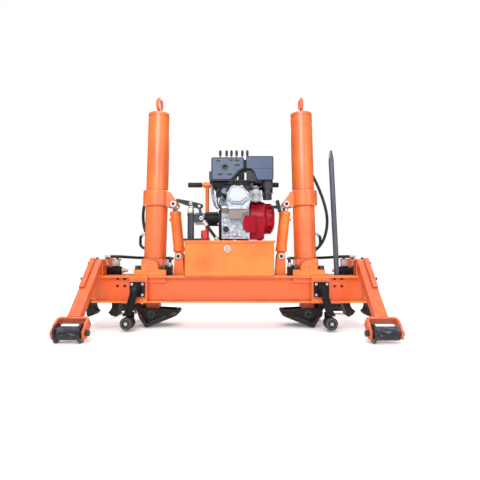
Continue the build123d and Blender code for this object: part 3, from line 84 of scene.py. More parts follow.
# Materials
class Finish:
    """A procedural material under construction."""

    def __init__(self, name, colour, metallic=0.0, coat=0.0, shine=0.5):
        self.material = bpy.data.materials.new(name)
        self.material.use_nodes = True
        self.tree = self.material.node_tree
        self.tree.nodes.clear()
        output = self.tree.nodes.new("ShaderNodeOutputMaterial")
        self.shader = self.tree.nodes.new("ShaderNodeBsdfPrincipled")
        self.tree.links.new(self.shader.outputs["BSDF"], output.inputs["Surface"])
        self.shader.inputs["Base Color"].default_value = (*colour, 1)
        self.shader.inputs["Metallic"].default_value = metallic
        self.shader.inputs["Coat Weight"].default_value = coat
        self.shader.inputs["Coat Roughness"].default_value = 0.22
        self.shader.inputs["Specular IOR Level"].default_value = shine
        self.coords = self.tree.nodes.new("ShaderNodeTexCoord").outputs["Object"]

    def noise(self, scale, detail=3.0, stretch=None):
        """Noise over the object's own coordinates, in cells per metre."""
        node = self.tree.nodes.new("ShaderNodeTexNoise")
        node.inputs["Scale"].default_value = scale
        node.inputs["Detail"].default_value = detail
        source = self.coords
        if stretch:
            mapping = self.tree.nodes.new("ShaderNodeMapping")
            mapping.inputs["Scale"].default_value = stretch
            self.tree.links.new(self.coords, mapping.inputs["Vector"])
            source = mapping.outputs["Vector"]
        self.tree.links.new(source, node.inputs["Vector"])
        return node.outputs["Fac"]

    def span(self, value, low, high, to_low=0.0, to_high=1.0):
        return map_range(self.tree, value, low, high, to_low, to_high)

    def strength(self, mask, most):
        """The mask scaled down, so that it runs from 0 to most."""
        return self.span(mask, 0.0, 1.0, 0.0, most)

    def maths(self, kind, *values):
        """The result of a sum on numbers or on other nodes' values."""
        node = self.tree.nodes.new("ShaderNodeMath")
        node.operation = kind
        for socket, value in zip(node.inputs, values):
            if isinstance(value, (int, float)):
                socket.default_value = value
            else:
                self.tree.links.new(value, socket)
        return node.outputs["Value"]

    def axis(self, name, source=None):
        node = self.tree.nodes.new("ShaderNodeSeparateXYZ")
        self.tree.links.new(source or self.coords, node.inputs["Vector"])
        return node.outputs[name]

    def inside(self, name, low, high, soft=0.5):
        """A mask that is 1 between two places along an axis, in millimetres."""
        place = self.axis(name)
        rising = self.span(place, (low - soft) * MM, (low + soft) * MM)
        falling = self.span(place, (high - soft) * MM, (high + soft) * MM, 1.0, 0.0)
        return self.maths("MULTIPLY", rising, falling)

    def inside_box(self, soft=0.5, **sides):
        """A mask that is 1 within (low, high) along each axis that is named, in millimetres."""
        mask = None
        for name, (low, high) in sides.items():
            one = self.inside(name, low, high, soft)
            mask = one if mask is None else self.maths("MULTIPLY", mask, one)
        return mask

    def rim(self, colour, **sides):
        """Tints what lies outside (low, high) along each axis that is named, in millimetres."""
        middle = self.inside_box(1.5, **sides)
        self.tint(self.maths("SUBTRACT", 1.0, middle), colour)

    def edges(self, radius):
        """A mask that is 1 near sharp edges, within a radius in millimetres."""
        bevel = self.tree.nodes.new("ShaderNodeBevel")
        bevel.samples = 4
        bevel.inputs["Radius"].default_value = radius * MM
        geometry = self.tree.nodes.new("ShaderNodeNewGeometry")
        dot = self.tree.nodes.new("ShaderNodeVectorMath")
        dot.operation = "DOT_PRODUCT"
        self.tree.links.new(bevel.outputs["Normal"], dot.inputs[0])
        self.tree.links.new(geometry.outputs["Normal"], dot.inputs[1])
        return self.span(dot.outputs["Value"], 0.97, 0.80)

    def hollows(self, distance):
        """A mask that is 1 in corners and gaps, within a distance in millimetres, for painted shade."""
        shade = self.tree.nodes.new("ShaderNodeAmbientOcclusion")
        shade.samples = 8
        shade.inputs["Distance"].default_value = distance * MM
        return self.span(shade.outputs["AO"], 0.35, 0.92, 1.0, 0.0)

    def facing_up(self):
        geometry = self.tree.nodes.new("ShaderNodeNewGeometry")
        return self.span(self.axis("Z", geometry.outputs["Normal"]), 0.4, 0.95)

    def tint(self, mask, colour):
        """Mixes a colour over what the base colour has so far."""
        node = self.tree.nodes.new("ShaderNodeMix")
        node.data_type = "RGBA"
        base = self.shader.inputs["Base Color"]
        if base.is_linked:
            self.tree.links.new(base.links[0].from_socket, node.inputs[COLOUR_A])
        else:
            node.inputs[COLOUR_A].default_value = base.default_value
        node.inputs[COLOUR_B].default_value = (*colour, 1)
        self.tree.links.new(mask, node.inputs[FACTOR])
        self.tree.links.new(node.outputs[COLOUR_OUT], base)

    def vary(self, socket, mask, low, high):
        """Lets a number of the shader follow a mask, from low to high."""
        self.tree.links.new(self.span(mask, 0.0, 1.0, low, high), self.shader.inputs[socket])

    def bump(self, height, strength, distance):
        """Adds a bump to what the normal has so far; distance in millimetres."""
        node = self.tree.nodes.new("ShaderNodeBump")
        node.inputs["Strength"].default_value = strength
        node.inputs["Distance"].default_value = distance * MM
        self.tree.links.new(height, node.inputs["Height"])
        normal = self.shader.inputs["Normal"]
        if normal.is_linked:
            self.tree.links.new(normal.links[0].from_socket, node.inputs["Normal"])
        self.tree.links.new(node.outputs["Normal"], normal)


def scaled(colour, factor):
    return tuple(min(1.0, channel * factor) for channel in colour)


DUST = (0.42, 0.34, 0.27)


def painted(name, colour, deep, chip, roughness=(0.26, 0.42), coat=0.35, wear=0.5, shine=0.5):
    """Sprayed paint on steel: orange peel, uneven colour, dust on top, painted shade in corners and gaps, and
    worn edges.
    """
    made = Finish(name, colour, coat=coat, shine=shine)
    made.tint(made.span(made.noise(5.0, 4.0), 0.42, 0.66), deep)
    patches = made.span(made.noise(22.0, 5.0), 0.48, 0.72, 0.0, 0.35)
    made.tint(made.maths("MULTIPLY", made.facing_up(), patches), DUST)
    # Painted shade: corners and gaps darkened with a darker copy of the deep colour
    made.tint(made.strength(made.hollows(16), 0.75), scaled(deep, 0.4))
    chips = made.span(made.noise(60.0, 6.0), 0.52, 0.60, 0.0, wear)
    made.tint(made.maths("MULTIPLY", made.edges(2.2), chips), chip)
    made.vary("Roughness", made.noise(34.0, 4.0), *roughness)
    made.bump(made.noise(420.0, 2.0), 0.10, 0.35)
    made.bump(made.noise(14.0, 2.0), 0.12, 1.4)
    return made


def metal(name, colour, stain_and_shade, roughness, grain=300.0, bump=0.15, stretch=None, metallic=1.0):
    """Bare or plated metal with machining or casting texture, stains and painted shade in corners and gaps.
    """
    made = Finish(name, colour, metallic=metallic)
    made.tint(made.span(made.noise(24.0, 5.0), 0.45, 0.72), stain_and_shade)
    # Painted shade: corners and gaps darkened with a darker copy of the stain colour
    made.tint(made.strength(made.hollows(12), 0.8), scaled(stain_and_shade, 0.25))
    made.tint(made.strength(made.edges(1.2), 0.35), scaled(colour, 1.25))
    made.vary("Roughness", made.noise(60.0, 4.0, stretch), *roughness)
    made.bump(made.noise(grain, 3.0, stretch), bump, 0.4)
    return made


def moulded(name, colour, pale, roughness, grain=900.0, bump=0.2):
    """Rubber or plastic with a fine grain and a dusty bloom."""
    made = Finish(name, colour, shine=0.3)
    made.tint(made.span(made.noise(18.0, 5.0), 0.45, 0.75), pale)
    made.vary("Roughness", made.noise(50.0, 4.0), *roughness)
    made.bump(made.noise(grain, 2.0), bump, 0.3)
    return made


def casting(name, colour, stain_and_shade, roughness, bump):
    """Cast aluminium, which is dull and grainy."""
    return metal(name, colour, stain_and_shade, roughness, 260.0, bump, metallic=0.25)


def chromed(name):
    """Hard chrome with fine rings round a rod that stands along Z."""
    return metal(name, (0.80, 0.80, 0.82), (0.66, 0.66, 0.68), (0.06, 0.16), 900.0, 0.03, (1, 1, 12))


def rubbery(name):
    return moulded(name, (0.011, 0.011, 0.012), (0.030, 0.029, 0.028), (0.45, 0.7))


# Orange paint: deeper on the beam's web between its flanges, as painted shade under the top flange,
# darker on the roller arms as painted shade, and with a stronger sheen on the lift barrels
WEB_Z = (165, 288)
ORANGE, DEEP_ORANGE = (0.87, 0.200, 0.024), (0.80, 0.125, 0.015)
PRIMER, BARE = (0.30, 0.10, 0.05), (0.34, 0.32, 0.30)
ORANGE_SHEEN = {"roughness": (0.32, 0.46), "coat": 0.3, "wear": 0.55}
orange = painted("orange_paint", ORANGE, DEEP_ORANGE, PRIMER, **ORANGE_SHEEN)
beam_orange = painted("beam_paint", ORANGE, DEEP_ORANGE, PRIMER, **ORANGE_SHEEN)
# Painted shade: the web under the top flange is tinted a deeper orange
beam_orange.tint(beam_orange.inside("Z", *WEB_Z, 3), (0.74, 0.115, 0.018))
# Painted shade: the roller arms get a darker copy of the orange
shaded_arm_orange = painted("arm_paint_shaded", (0.70, 0.110, 0.020), (0.64, 0.085, 0.014), PRIMER,
                     roughness=(0.36, 0.50), coat=0.1, wear=0.6)
barrel_orange = painted("barrel_paint", (0.76, 0.155, 0.018), (0.68, 0.105, 0.012), PRIMER,
                        roughness=(0.40, 0.50), wear=0.55, shine=0.8)

# Other paints and bare iron
black = painted("black_paint", (0.008, 0.008, 0.010), (0.016, 0.016, 0.019), BARE,
                roughness=(0.34, 0.50), coat=0.0, shine=0.12)
# Hand pump: dark paint lifted towards blue-grey, partly its own colour and partly painted sheen
pump_black = painted("pump_paint", (0.030, 0.034, 0.050), (0.040, 0.044, 0.060), BARE,
                     roughness=(0.20, 0.32), coat=0.2)
claw_iron = painted("claw_iron", (0.010, 0.011, 0.010), (0.022, 0.020, 0.018), BARE,
                    roughness=(0.44, 0.62), coat=0.0, wear=0.6, shine=0.25)
worn_iron = painted("worn_iron", (0.035, 0.038, 0.040), (0.020, 0.020, 0.020), BARE,
                    roughness=(0.36, 0.52), coat=0.0, wear=0.9)
red = painted("red_enamel", (0.36, 0.002, 0.012), (0.20, 0.001, 0.007), (0.45, 0.06, 0.06),
              roughness=(0.22, 0.34), coat=0.0, wear=0.15, shine=0.2)
red_cap = painted("red_plastic", (0.62, 0.030, 0.030), (0.50, 0.02, 0.02), (0.6, 0.25, 0.25),
                  coat=0.2, wear=0.2)
blue_grey = painted("blue_grey_paint", (0.060, 0.068, 0.092), (0.040, 0.045, 0.062), (0.40, 0.40, 0.42),
                    roughness=(0.28, 0.45), coat=0.1, wear=0.8)

# Metals, rubber and plastic
dark_steel = metal("blackened_steel", (0.045, 0.043, 0.042), (0.10, 0.08, 0.06), (0.38, 0.58), metallic=0.7)
chrome = chromed("chromed_rod")
cast = casting("cast_aluminium", (0.42, 0.44, 0.48), (0.26, 0.26, 0.27), (0.50, 0.62), 0.25)
lug_cast = casting("lug_casting", (0.24, 0.27, 0.34), (0.10, 0.11, 0.13), (0.46, 0.60), 0.3)
zinc = metal("zinc_plate", (0.60, 0.59, 0.57), (0.42, 0.39, 0.34), (0.30, 0.46), 500.0, 0.1, metallic=0.6)
pale_zinc = metal("pale_zinc", (0.74, 0.74, 0.75), (0.60, 0.58, 0.56), (0.30, 0.45), 500.0, 0.1, metallic=0.5)
rubber = rubbery("black_rubber")
plastic = moulded("black_plastic", (0.014, 0.014, 0.015), (0.026, 0.026, 0.028), (0.3, 0.5), 1400.0, 0.15)
hose_rubber = moulded("hose_rubber", (0.010, 0.010, 0.011), (0.024, 0.024, 0.025), (0.34, 0.52), 700.0, 0.25)

# Rollers: dark iron with pale scratches across the tread
tread_iron = painted("roller_iron", (0.006, 0.007, 0.012), (0.014, 0.015, 0.026), BARE,
                     roughness=(0.26, 0.40), coat=0.1, wear=0.8, shine=0.35)
scratches = tread_iron.noise(90.0, 5.0, (0.3, 1, 1))
tread_iron.tint(tread_iron.span(scratches, 0.58, 0.66, 0.0, 0.6), (0.14, 0.14, 0.16))

# Valve cover: a bright face with a greyer ledge, and dark edges that are painted shade
COVER_LEDGE_Y = (-158, -141)
cover_cast = casting("cover_casting", (0.50, 0.52, 0.55), (0.42, 0.43, 0.44), (0.50, 0.62), 0.2)
cover_cast.tint(cover_cast.inside("Y", *COVER_LEDGE_Y), (0.40, 0.42, 0.45))
# Painted shade along the cover's edges
cover_cast.tint(cover_cast.edges(2.5), (0.14, 0.15, 0.16))

# Sight plug: the sides of its hub are dark, and so is its centre
PLUG_HUB_Y = (-161.5, -157.3)
PLUG_CENTRE = {"Y": (-164, -161), "X": (-14, -8), "Z": (450, 456)}
plug_zinc = metal("sight_plug_zinc", (0.60, 0.58, 0.55), (0.42, 0.39, 0.34), (0.30, 0.46), 500.0, 0.1,
                  metallic=0.5)
plug_zinc.tint(plug_zinc.inside("Y", *PLUG_HUB_Y, 0.2), (0.12, 0.10, 0.09))
plug_zinc.tint(plug_zinc.inside_box(0.3, **PLUG_CENTRE), (0.06, 0.05, 0.045))

# Engine casting: mottled, with the head's upper part in shade, a browner cover on the cylinder's foot
# and oil stains on the crankcase
HEAD_SHADE = {"Y": (-146, 22), "Z": (775, 850)}
FOOT_COVER = {"Y": (-136, -100), "Z": (622, 688)}
CRANKCASE_Z = (515, 622)
engine_cast = casting("engine_casting", (0.62, 0.69, 0.79), (0.36, 0.38, 0.41), (0.50, 0.66), 0.3)
mottle = engine_cast.span(engine_cast.noise(70.0, 6.0), 0.50, 0.60, 0.0, 0.55)
engine_cast.tint(mottle, (0.16, 0.175, 0.21))
head_shade = engine_cast.inside_box(4, **HEAD_SHADE)
engine_cast.tint(head_shade, (0.014, 0.014, 0.016))
engine_cast.vary("Metallic", head_shade, 0.25, 0.1)
engine_cast.tint(engine_cast.inside_box(**FOOT_COVER), (0.24, 0.19, 0.165))
oil = engine_cast.span(engine_cast.noise(55.0, 6.0), 0.46, 0.62, 0.0, 0.6)
crankcase = engine_cast.inside("Z", *CRANKCASE_Z, 12)
engine_cast.tint(engine_cast.maths("MULTIPLY", crankcase, oil), (0.26, 0.18, 0.15))

# Lift rods: chromed, with a painted block at the foot end whose orange is darkened as painted shade
END_BLOCK_Z = (0, 139)
rod_end = chromed("rod_and_end_block")
end_mask = rod_end.inside("Z", *END_BLOCK_Z)
# Orange paint on the end block, darkened as painted shade
rod_end.tint(end_mask, (0.42, 0.085, 0.018))
rod_end.vary("Metallic", end_mask, 1.0, 0.0)
rod_end.vary("Roughness", end_mask, 0.12, 0.45)

# Muffler: a dark coated shell whose blue-grey colour is partly painted reflection of the sky, with a
# darker plate at its outlet; its step, slots, outlet, edges and rim are in shade
SHADE = (0.012, 0.014, 0.020)
SHELL_SHEEN = {"coat": 0.1, "wear": 0.4, "shine": 0.4}
MUFFLER_FRONT = -125
STEP_Y = (MUFFLER_FRONT + 1, MUFFLER_FRONT + 6.5)
OUTLET_PLATE_Y = (MUFFLER_FRONT - 4, MUFFLER_FRONT - 0.5)
OUTLET = {"Y": (MUFFLER_FRONT - 4, -105), "X": (-37, -15), "Z": (913, 935)}
muffler_shell = painted("muffler_shell", (0.078, 0.105, 0.172), (0.060, 0.084, 0.130), BARE,
                        roughness=(0.40, 0.52), **SHELL_SHEEN)
muffler_shell.tint(muffler_shell.inside("Y", *STEP_Y, 0.3), SHADE)
muffler_shell.tint(muffler_shell.inside("Y", *OUTLET_PLATE_Y, 0.2), (0.036, 0.044, 0.060))
muffler_shell.tint(muffler_shell.inside_box(0.3, **OUTLET), SHADE)
muffler_shell.tint(muffler_shell.edges(7), SHADE)
muffler_shell.rim(SHADE, X=(-98, 76), Z=(854, 974))

# Air cleaner: a dark coated shell whose blue-grey colour is partly painted reflection of the sky, with its
# edges, rim and the line above its cut corner in shade, a black base behind the cut corner, and an intake
# that is black at its top, grey below and dark at its mouth
SOOT = (0.008, 0.008, 0.009)
CUT_CORNER = {"Y": (-120, 40), "Z": (840, 917), "X": (98, 161)}
CUT_LINE_Z = (914, 917)
INTAKE_TOP_Z, INTAKE_MIDDLE_Z, INTAKE_MOUTH_Z = (836, 850.5), (774, 836), (738, 774)
cleaner = painted("air_cleaner_shell", (0.047, 0.071, 0.132), (0.036, 0.056, 0.106), BARE,
                  roughness=(0.38, 0.50), **SHELL_SHEEN)
cleaner.tint(cleaner.inside("Z", *CUT_LINE_Z, 1), SHADE)
cleaner.tint(cleaner.edges(5), SHADE)
cleaner.rim(SHADE, X=(101, 246), Z=(738, 981))
cleaner.tint(cleaner.inside_box(**CUT_CORNER), SOOT)
cleaner.tint(cleaner.inside("Z", *INTAKE_TOP_Z), SOOT)
cleaner.tint(cleaner.inside("Z", *INTAKE_MIDDLE_Z), (0.026, 0.030, 0.040))
cleaner.tint(cleaner.inside("Z", *INTAKE_MOUTH_Z), (0.010, 0.011, 0.014))

# Transfer wheels: rubber round a bare hub face
HUB_R = 29
wheel_rubber = rubbery("wheel_rubber")
outwards = wheel_rubber.maths("ABSOLUTE", wheel_rubber.axis("X"))
across = wheel_rubber.maths("SUBTRACT", outwards, WHEEL_X * MM)
upwards = wheel_rubber.maths("SUBTRACT", wheel_rubber.axis("Z"), WHEEL_Z * MM)
squares = [wheel_rubber.maths("MULTIPLY", part, part) for part in (across, upwards)]
distance = wheel_rubber.maths("SQRT", wheel_rubber.maths("ADD", *squares))
hub = wheel_rubber.span(distance, (HUB_R + 1) * MM, (HUB_R - 1) * MM)
wheel_rubber.tint(hub, (0.10, 0.10, 0.11))
wheel_rubber.vary("Metallic", hub, 0.0, 0.6)

# Steel pipes on the lift cylinders: black, with their upper run pale: partly bare, partly painted highlight
BARE_AND_HIGHLIGHT_RUN_Z = (538, 575)
pipe_paint = painted("pipe_paint", (0.010, 0.010, 0.012), (0.018, 0.018, 0.020), BARE,
                     coat=0.0, wear=0.6, shine=0.25)
bare_and_highlight_run = pipe_paint.inside("Z", *BARE_AND_HIGHLIGHT_RUN_Z, 2)
pipe_paint.tint(bare_and_highlight_run, (0.55, 0.57, 0.60))
pipe_paint.vary("Metallic", bare_and_highlight_run, 0.0, 0.6)

# Hand pump lever: painted bar on a chromed rod
HAND_ROD = {"X": (HAND_X - 13, HAND_X + 13), "Z": (650, 699)}
pump_lever = painted("pump_lever_paint", (0.012, 0.012, 0.014), (0.022, 0.022, 0.024), BARE,
                     coat=0.0, wear=0.8, shine=0.3)
rod_mask = pump_lever.inside_box(**HAND_ROD)
pump_lever.tint(rod_mask, (0.78, 0.78, 0.80))
pump_lever.vary("Metallic", rod_mask, 0.0, 1.0)

# Valve levers: steel with black knobs
KNOBS_Z = (1061, 1200)
lever_steel = metal("lever_steel", (0.30, 0.29, 0.28), (0.16, 0.13, 0.10), (0.30, 0.5), metallic=0.9)
knob_mask = lever_steel.inside("Z", *KNOBS_Z)
lever_steel.tint(knob_mask, (0.010, 0.010, 0.011))
lever_steel.vary("Metallic", knob_mask, 0.9, 0.0)


# Finishes on the nodes
def both(name):
    """The names of a node's left and right forms."""
    return [name + "_" + side_name for _, side_name in SIDES]


NODE_FINISHES = [
    (beam_orange, ["beam_frame"]),
    (orange, ["trunnion_blocks", "oil_tank", "tank_lid", "handle_frame", "lining_brackets"]),
    (orange, both("lining_barrel")),
    (shaded_arm_orange, ["roller_arms"]),
    (barrel_orange, both("lift_barrel")),
    (black, ["transfer_arms", "fuel_tank", "pump_adapter", "clamp_cylinders", "exhaust_elbow"]),
    (pump_black, ["hand_pump"]),
    (pump_lever, ["hand_pump_lever"]),
    (pipe_paint, both("lift_pipe")),
    (claw_iron, both("foot") + [claw + place for claw in both("claw") for place in ("_outer", "_inner")]),
    (tread_iron, both("roller_front") + both("roller_rear")),
    (wheel_rubber, both("transfer_wheel_front") + both("transfer_wheel_rear")),
    (red, ["fan_cover", "recoil_starter"]),
    (red_cap, ["filler_cap"]),
    (blue_grey, ["pry_bar"]),
    (muffler_shell, ["muffler"]),
    (cleaner, ["air_cleaner"]),
    (dark_steel, ["claw_pins", "valve_block", "roller_axles"]),
    (lever_steel, ["valve_levers"]),
    (rod_end, both("lift_rod")),
    (chrome, both("lining_rod")),
    (engine_cast, ["engine_block"]),
    (cover_cast, ["valve_cover"]),
    (cast, ["carburettor", "gear_pump"]),
    (plug_zinc, ["sight_plug"]),
    (zinc, ["clamp_fittings"]),
    (rubber, ["engine_mounts", "hand_grips"]),
    (hose_rubber, ["base_hoses"]),
    (plastic, ["recoil_grip"]),
]
for finish, nodes in NODE_FINISHES:
    for node in nodes:
        for material_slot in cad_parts[node].material_slots:
            material_slot.link = "OBJECT"
            material_slot.material = finish.material


# Mesh building
def new_piece(name, mesh, finish, body):
    """A mesh object that rides on a body and takes its finish from a material slot."""
    made = bpy.data.objects.new(name, mesh)
    bpy.context.collection.objects.link(made)
    mesh.materials.append(finish.material)
    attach(made, body)
    return made


class Builder:
    """Collects turned and extruded shapes, in millimetres, for one piece."""

    def __init__(self):
        self.shapes = bmesh.new()

    def ring(self, place, turn, position, radius, segments):
        """Vertices in a circle about a turned Z axis, at a position along it from a place."""
        made = []
        for number in range(segments):
            angle = 2 * math.pi * number / segments
            local = Vector((radius * math.cos(angle), radius * math.sin(angle), position))
            made.append(self.shapes.verts.new((place + turn @ local) * MM))
        return made

    def skin(self, rings):
        """Closes a row of rings into a solid, with a face over each end."""
        count = len(rings[0])
        for low, high in zip(rings, rings[1:]):
            for number in range(count):
                after = (number + 1) % count
                self.shapes.faces.new((low[number], low[after], high[after], high[number]))
        self.shapes.faces.new(list(reversed(rings[0])))
        self.shapes.faces.new(rings[-1])

    def lathe(self, profile, place, axis, segments=24):
        """A solid turned about an axis through a place, from (position, radius) pairs."""
        turn = Vector(axis).normalized().to_track_quat("Z", "Y").to_matrix()
        centre = Vector(place)
        self.skin([self.ring(centre, turn, position, radius, segments) for position, radius in profile])

    def bolt(self, place, axis, across, head, washer=2.5):
        """A hexagon head with a washer under it, its base at the place."""
        corner = across / math.sqrt(3)
        rim = corner + 3
        self.lathe([(0, rim), (washer * 0.7, rim), (washer, rim - 0.8)], place, axis, 20)
        base = Vector(place) + Vector(axis).normalized() * washer
        chamfered = [(0, corner), (head * 0.8, corner), (head, corner * 0.84), (head - 0.6, corner * 0.5)]
        self.lathe(chamfered, base, axis, 6)

    def tube(self, points, radius):
        """A round tube along straight runs, with its corners mitred."""
        segments = 12
        route = [Vector(point) for point in points]
        rings = []
        for number, point in enumerate(route):
            before = route[max(number - 1, 0)]
            after = route[min(number + 1, len(route) - 1)]
            turn = (after - before).normalized().to_track_quat("Z", "Y").to_matrix()
            rings.append(self.ring(point, turn, 0, radius, segments))
        self.skin(rings)

    def bead(self, start, end, radius):
        """A weld bead along a line, rippled once for each pitch."""
        pitch = 4.0
        run = Vector(end) - Vector(start)
        steps = max(3, round(run.length / pitch) * 2)
        profile = []
        for number in range(steps + 1):
            swell = 1.0 if number % 2 else 0.82
            if number in (0, steps):
                swell = 0.4
            profile.append((run.length * number / steps, radius * swell))
        self.lathe(profile, start, run, 8)

    def plate(self, outline, y):
        """A plate whose outline is drawn in X and Z, between two places along Y."""
        self.skin([[self.shapes.verts.new(Vector((x, depth, z)) * MM) for x, z in outline] for depth in y])

    def bar(self, x, z, y):
        """A rectangular plate, from (low, high) along each axis."""
        self.plate([(x[0], z[0]), (x[1], z[0]), (x[1], z[1]), (x[0], z[1])], y)

    def piece(self, name, finish, body, slot, smooth=35, bevel=0.0):
        """Ends the collection as a piece; edges sharper than smooth, in degrees, stay sharp."""
        bmesh.ops.recalc_face_normals(self.shapes, faces=self.shapes.faces)
        mesh = bpy.data.meshes.new(name)
        self.shapes.to_mesh(mesh)
        self.shapes.free()
        mesh.shade_smooth()
        mesh.set_sharp_from_angle(angle=math.radians(smooth))
        made = new_piece(name, mesh, finish, body)
        if bevel:
            modifier = made.modifiers.new("edge", "BEVEL")
            modifier.width = bevel * MM
            modifier.segments = 2
            modifier.limit_method = "ANGLE"
        return made


# Free hoses on the lift cylinders: the route's points are drawn with the cylinder upright,
# as (distance outwards from its axis, y, z), and then leant with it
HOSE_R = 9
HOSE_ROUTE = {
    LEFT: [(44, 88, 912), (54, 86, 872), (78, 78, 800), (96, 72, 720), (100, 72, 645), (88, 76, 575),
           (66, 83, 518), (44, 88, 472)],
    RIGHT: [(46, 88, 990), (58, 86, 950), (88, 78, 885), (114, 68, 815), (138, 58, 735), (152, 52, 655),
            (149, 54, 580), (130, 62, 510), (94, 74, 456), (46, 86, 424)],
}
# (position, radius) pairs from the hose's mouth along it, with two grooves
FERRULE = [(-1, 11.8), (3, 11.8), (3.6, 11), (8, 11), (8.6, 11.8), (13, 11.8), (13.6, 11), (18, 11),
           (18.6, 11.8), (24, 11.8), (26, 10.2)]


def leaned(side, off, y, z):
    """The place of a route's point on a side, once its lift cylinder leans."""
    dz = z - TRUNNION_Z
    x = LIFT_X + off * math.cos(LIFT_LEAN) - dz * math.sin(LIFT_LEAN)
    return Vector((side * x, y, TRUNNION_Z + off * math.sin(LIFT_LEAN) + dz * math.cos(LIFT_LEAN)))


for side, side_name in SIDES:
    route = [leaned(side, *point) * MM for point in HOSE_ROUTE[side]]
    curve = bpy.data.curves.new("lift_hose_" + side_name, "CURVE")
    curve.dimensions = "3D"
    curve.bevel_depth = HOSE_R * MM
    curve.bevel_resolution = 5
    curve.resolution_u = 10
    curve.use_fill_caps = True
    spline = curve.splines.new("NURBS")
    spline.points.add(len(route) - 1)
    for point, place in zip(spline.points, route):
        point.co = (*place, 1)
    spline.order_u = 3
    spline.use_endpoint_u = True
    body = "lift_barrel_" + side_name
    hose = new_piece("free_hose_" + side_name, curve, hose_rubber, body)
    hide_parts("lift_hose_" + side_name)
    ferrules = Builder()
    for near, far in ((0, 1), (-1, -2)):
        mouth = leaned(side, *HOSE_ROUTE[side][near])
        ferrules.lathe(FERRULE, mouth, leaned(side, *HOSE_ROUTE[side][far]) - mouth)
    crimps = ferrules.piece("hose_crimps_" + side_name, zinc, body, "steel")

# Hexagon bolts on the frame: on the transfer arms' plates, the wheels' axles, the trunnion blocks and
# the roller posts (x and z on the face, y and z on the side, x on the cap)
PLATE_X, PLATE_Z, PLATE_BOLT_OFF, PLATE_FACE = 518, 224, 30, 157
WHEEL_AXLE_END = 246
TRUNNION_BOLT_OFF, BLOCK_BASE_Z, BLOCK_MID_Y = 74, 335, 106
POST_FACE_BOLTS = [(755, 324), (736, 354), (766, 360)]
POST_SIDE, POST_SIDE_BOLTS = 783, [(150, 372), (250, 290)]
POST_CAP_BOLTS, POST_CAP_Y, POST_CAP_Z = (708, 764), 98, 394
pale_bolts = Builder()
bolts = Builder()
for end, side in CORNERS:
    outward, sideward = (0, end, 0), (side, 0, 0)
    for dx in (-PLATE_BOLT_OFF, PLATE_BOLT_OFF):
        for dz in (-PLATE_BOLT_OFF, PLATE_BOLT_OFF):
            pale_bolts.bolt((side * (PLATE_X + dx), end * PLATE_FACE, PLATE_Z + dz), outward, 8, 5, 1.2)
    pale_bolts.bolt((side * WHEEL_X, end * WHEEL_AXLE_END, WHEEL_Z), outward, 11, 6, 1.5)
    for off in (-TRUNNION_BOLT_OFF, TRUNNION_BOLT_OFF):
        bolts.bolt((side * (LIFT_X + off), end * BLOCK_MID_Y, BLOCK_BASE_Z), UP, 30, 20, 3)
    for x, z in POST_FACE_BOLTS:
        bolts.bolt((side * x, end * POST_FACE, z), outward, 14, 8)
    for y, z in POST_SIDE_BOLTS:
        bolts.bolt((side * POST_SIDE, end * y, z), sideward, 15, 11)
    for x in POST_CAP_BOLTS:
        bolts.bolt((side * x, end * POST_CAP_Y, POST_CAP_Z), UP, 13, 8)
bolts.piece("frame_bolts", dark_steel, "base", "dark_steel")
pale_bolts.piece("transfer_arm_bolts", zinc, "base", "steel")

# Feet: a rim along each cheek's edges, and two stepped discs at each end of the pin
FOOT_PIN_X, FOOT_PIN_Z, CHEEK_FACE = 458.5, 72.1, 56.5
PIN_DISCS = [[(0, 24), (2, 24), (3, 23)], [(0, 19), (4, 19), (5, 18)]]
CHEEK_RIM, RIM_R = [(313, 97), (478, 14), (557, 121)], 3
for side, side_name in SIDES:
    rims, rings = Builder(), Builder()
    for end in (FRONT, REAR):
        for near, far in zip(CHEEK_RIM, CHEEK_RIM[1:]):
            run = Vector((side * (far[0] - near[0]), 0, far[1] - near[1]))
            rims.lathe([(0, RIM_R / 2), (RIM_R, RIM_R), (run.length - RIM_R, RIM_R)],
                       (side * near[0], end * CHEEK_FACE, near[1]), run, 8)
        for profile in PIN_DISCS:
            rings.lathe(profile, (side * FOOT_PIN_X, end * CHEEK_FACE, FOOT_PIN_Z), (0, end, 0), 32)
    rims.piece("foot_rims_" + side_name, claw_iron, "foot_" + side_name, "black_paint")
    rings.piece("foot_rings_" + side_name, worn_iron, "foot_" + side_name, "black_paint")

# Centre marks on the trunnions' ends
JOURNAL_FACE = 138
for side, side_name in SIDES:
    marks = Builder()
    for end in (FRONT, REAR):
        marks.lathe([(0, 3.5), (0.8, 3.5), (1, 3)], (side * LIFT_X, end * JOURNAL_FACE, TRUNNION_Z),
                    (0, end, 0), 12)
    marks.piece("trunnion_marks_" + side_name, dark_steel, "lift_barrel_" + side_name, "dark_steel")

# Caps on the ends of the lining cylinders' pins: a pale washer with a dark stub in it
LOWER_PIN, UPPER_PIN, PIN_FACE = (303, 411), (335, 720), 55
WASHER, STUB = [(0, 17.5), (2.2, 17.5), (3, 16.5)], [(2.5, 11), (5, 11), (6, 9.5)]


def pin_caps(name, body, x, z, sides):
    washers, stubs = Builder(), Builder()
    for side in sides:
        for end in (FRONT, REAR):
            washers.lathe(WASHER, (side * x, end * PIN_FACE, z), (0, end, 0), 28)
            stubs.lathe(STUB, (side * x, end * PIN_FACE, z), (0, end, 0), 6)
    washers.piece(name + "_washers", pale_zinc, body, "steel")
    stubs.piece(name + "_stubs", dark_steel, body, "dark_steel")


pin_caps("lower_pin", "base", *LOWER_PIN, (LEFT, RIGHT))
for side, side_name in SIDES:
    pin_caps("upper_pin_" + side_name, "lift_barrel_" + side_name, *UPPER_PIN, (side,))

